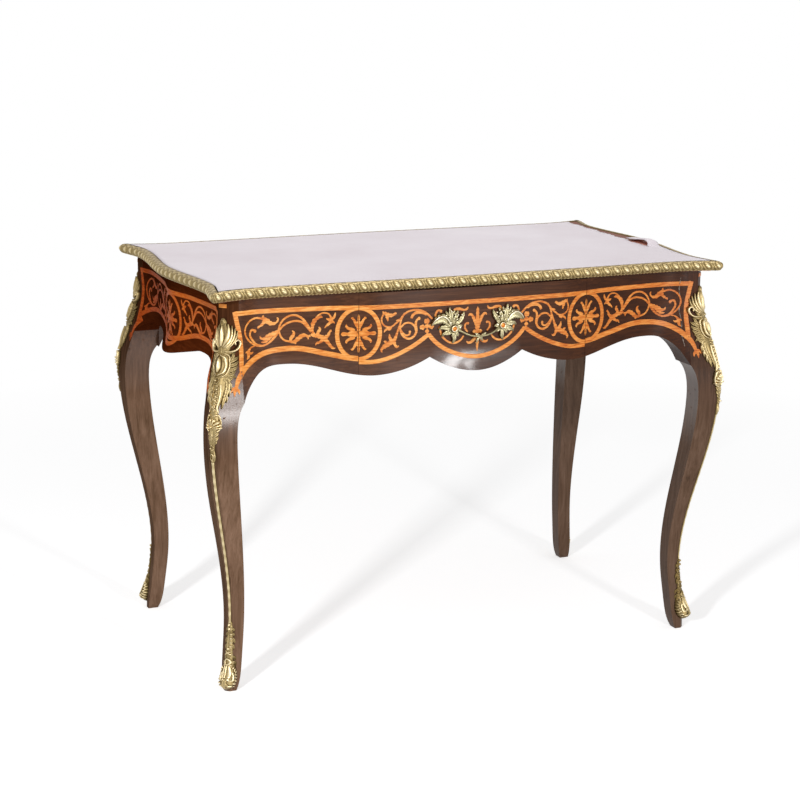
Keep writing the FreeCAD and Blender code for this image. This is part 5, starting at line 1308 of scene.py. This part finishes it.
back_right, back_left, front_left, front_right = corner_rows(rim)
back_side = rim_side(back_right, back_left, LEATHER_X)[::-1]
left_side = rim_side(back_left, front_left, LEATHER_Y)[::-1]
front_side = rim_side(front_left, front_right, LEATHER_X)
right_side = rim_side(front_right, back_right, LEATHER_Y)
p = np.linspace(0, 1, LEATHER_X + 1)[:, None, None]
q = np.linspace(0, 1, LEATHER_Y + 1)[None, :, None]
sheet = ((1 - q) * front_side[:, None] + q * back_side[:, None]
         + (1 - p) * left_side[None] + p * right_side[None]
         - (1 - p) * (1 - q) * front_side[0] - p * (1 - q) * front_side[-1]
         - (1 - p) * q * back_side[0] - p * q * back_side[-1])
leather_top_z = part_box("leather_top")[1].z
print("leather grid", sheet.shape)

# %% Torn strip
# The torn edge runs 30 mm in from the right side.
# Past its start the strip beyond it is loose, and farther back it is gone.
TEAR_X, TEAR_COLUMN = 0.480, LEATHER_X - 5
TEAR_NEAR, TEAR_START, LIFT_TOP, STRIP_END = -0.146, -0.088, -0.066, 0.016
STRIP_LIFT, LIFT_LOST = 0.012, 0.75
SHRUNK, SHRUNK_AT, SHRUNK_REACH = 0.006, -0.04, 0.03
TEAR_BLEND, LIFT_BLEND, FALL_BLEND = 0.055, 0.02, 0.08
# The torn edge waves, with a reach and a pace for each wave, and is frayed.
WAVES, FRAYED = ((0.0022, 95), (0.0012, 310)), 0.0007


def eased(share):
    """Ease a share from nothing to all of it."""
    share = np.clip(share, 0, 1)
    return share * share * (3 - 2 * share)


row_y = sheet[TEAR_COLUMN, :, 1]
ragged = sum(reach * np.sin(row_y * pace) for reach, pace in WAVES) + FRAYED * rng.standard_normal(len(row_y))
shift = (TEAR_X + ragged - sheet[TEAR_COLUMN, :, 0]) * eased((row_y - TEAR_NEAR) / TEAR_BLEND)
column = np.arange(LEATHER_X + 1)[:, None]
beyond = (column - TEAR_COLUMN) / (LEATHER_X - TEAR_COLUMN)
sheet[..., 0] += shift[None, :] * np.where(column <= TEAR_COLUMN, (column / TEAR_COLUMN) ** 12, 1 - beyond)
fall = 1 - LIFT_LOST * np.clip((row_y - LIFT_TOP) / FALL_BLEND, 0, 1)
lift = STRIP_LIFT * eased((row_y - TEAR_START) / LIFT_BLEND) * fall
loose_share = np.clip(beyond, 0, 1)
curl = lift[None, :] * (0.9 + 0.3 * np.sin(math.pi * loose_share) - 0.35 * loose_share)
shrink = SHRUNK * np.exp(-((row_y - SHRUNK_AT) / SHRUNK_REACH) ** 2)
shell = bmesh.new()
made = {}


def leather_point(i, j, strip):
    """Give a point of the sheet, or the point of the loose strip at the same place."""
    strip = strip and row_y[j] > TEAR_START
    if (i, j, strip) not in made:
        x, y = sheet[i, j]
        pulled = shrink[j] if i == TEAR_COLUMN and not strip else 0.0
        made[i, j, strip] = shell.verts.new((x - pulled, y, leather_top_z + (curl[i, j] if strip else 0.0)))
    return made[i, j, strip]


for i in range(LEATHER_X):
    for j in range(LEATHER_Y):
        strip = i >= TEAR_COLUMN
        if strip and row_y[j + 1] > STRIP_END:
            continue
        corner = [(i, j), (i + 1, j), (i + 1, j + 1), (i, j + 1)]
        shell.faces.new([leather_point(a, b, strip) for a, b in corner])
leather_mesh = bpy.data.meshes.new("leather_sheet")
shell.to_mesh(leather_mesh)
shell.free()
leather_mesh.polygons.foreach_set("use_smooth", [True] * len(leather_mesh.polygons))
leather_sheet = new_piece("leather_sheet", leather_mesh, leather)
leather_mesh.materials.append(hide_back)
thicken(leather_sheet, "leather thickness", LEATHER_THICK * MM, back_finish=1)
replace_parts(leather_sheet, "leather_top")

# %% [markdown]
# ## Plain wood and steel
# The board under the leather, the rails and the drawer's inside are plain oak, planed and left bare.
# The screws and bolts are steel. Nobody polishes these, so their finishes are rougher and duller.

# %% Oak and steel
def bare_oak(name, grain, tones, fade=None):
    """Planed oak without polish, whose grain runs along one axis."""
    wood, place = new_finish(name)
    along = add(wood, "Mapping", {"Scale": grain_scale(grain, 4.0, 70.0)}, {"Vector": place})
    streaks = add(wood, "TexNoise", {"Scale": 1.0, "Detail": 6.0, "Distortion": 0.5}, {"Vector": along})
    rough = add(wood, "MapRange", {"To Min": 0.62, "To Max": 0.85}, {"Value": streaks})
    bump = add(wood, "Bump", {"Strength": 0.3, "Distance": 0.3 * MM}, {"Height": streaks})
    show(wood, {"IOR": 1.5},
         {"Base Color": toned(wood, place, streaks, tones, fade), "Roughness": rough, "Normal": bump})
    return wood


OAK_TONES = [(0.3, "#6E4A2C"), (0.55, "#9A7048"), (0.8, "#B58A5E")]
BOARD_TONES = [(0.3, "#522A1C"), (0.55, "#74422F"), (0.8, "#8E5E46")]
LIT_POCKET_TONES = [(0.3, "#D08C76"), (0.55, "#E8A892"), (0.8, "#F4C4B2")]
oak_across = bare_oak("planed_oak_across", "x", OAK_TONES)
oak_along = bare_oak("planed_oak_along", "y", OAK_TONES)
# The board is painted pale pink in the pocket under the torn strip, as painted light in the strip's shadow.
board_oak = bare_oak("stained_oak_board", "x", BOARD_TONES, (LIT_POCKET_TONES, "Y", 0.012, -0.004))
steel = mottled("plain_steel", 3.0, 4.0, [(0.3, "#5E5C58"), (0.7, "#8C8A86")],
                {"Metallic": 1.0, "Roughness": 0.42})
print("plain finishes ready")

# %% Finishes on the solids
# The first row that fits the start of a solid's name gives its finish.
FINISHES = (
    (("leg_fillet", "corner_mount", "sabot", "edge_moulding", "mount_pins", "drawer_handle"), gilt_brass),
    (("leg_front_right", "leg_back_right"), shaded_right_leg_rosewood),
    ("leg_", leg_rosewood),
    (("frieze_left", "frieze_right"), end_rosewood),
    (("frieze", "drawer_front"), front_rosewood),
    ("handle_bolts", copper),
    (("top_screws", "handle_nuts"), steel),
    ("top_board", board_oak),
    (("drawer_side", "drawer_runner", "drawer_guide", "drawer_kicker"), oak_along),
    ("", oak_across),
)
for name, solid in solids.items():
    solid.data.materials.clear()
    solid.data.materials.append(next(finish for starts, finish in FINISHES if name.startswith(starts)))
print("finished solids", len(solids))
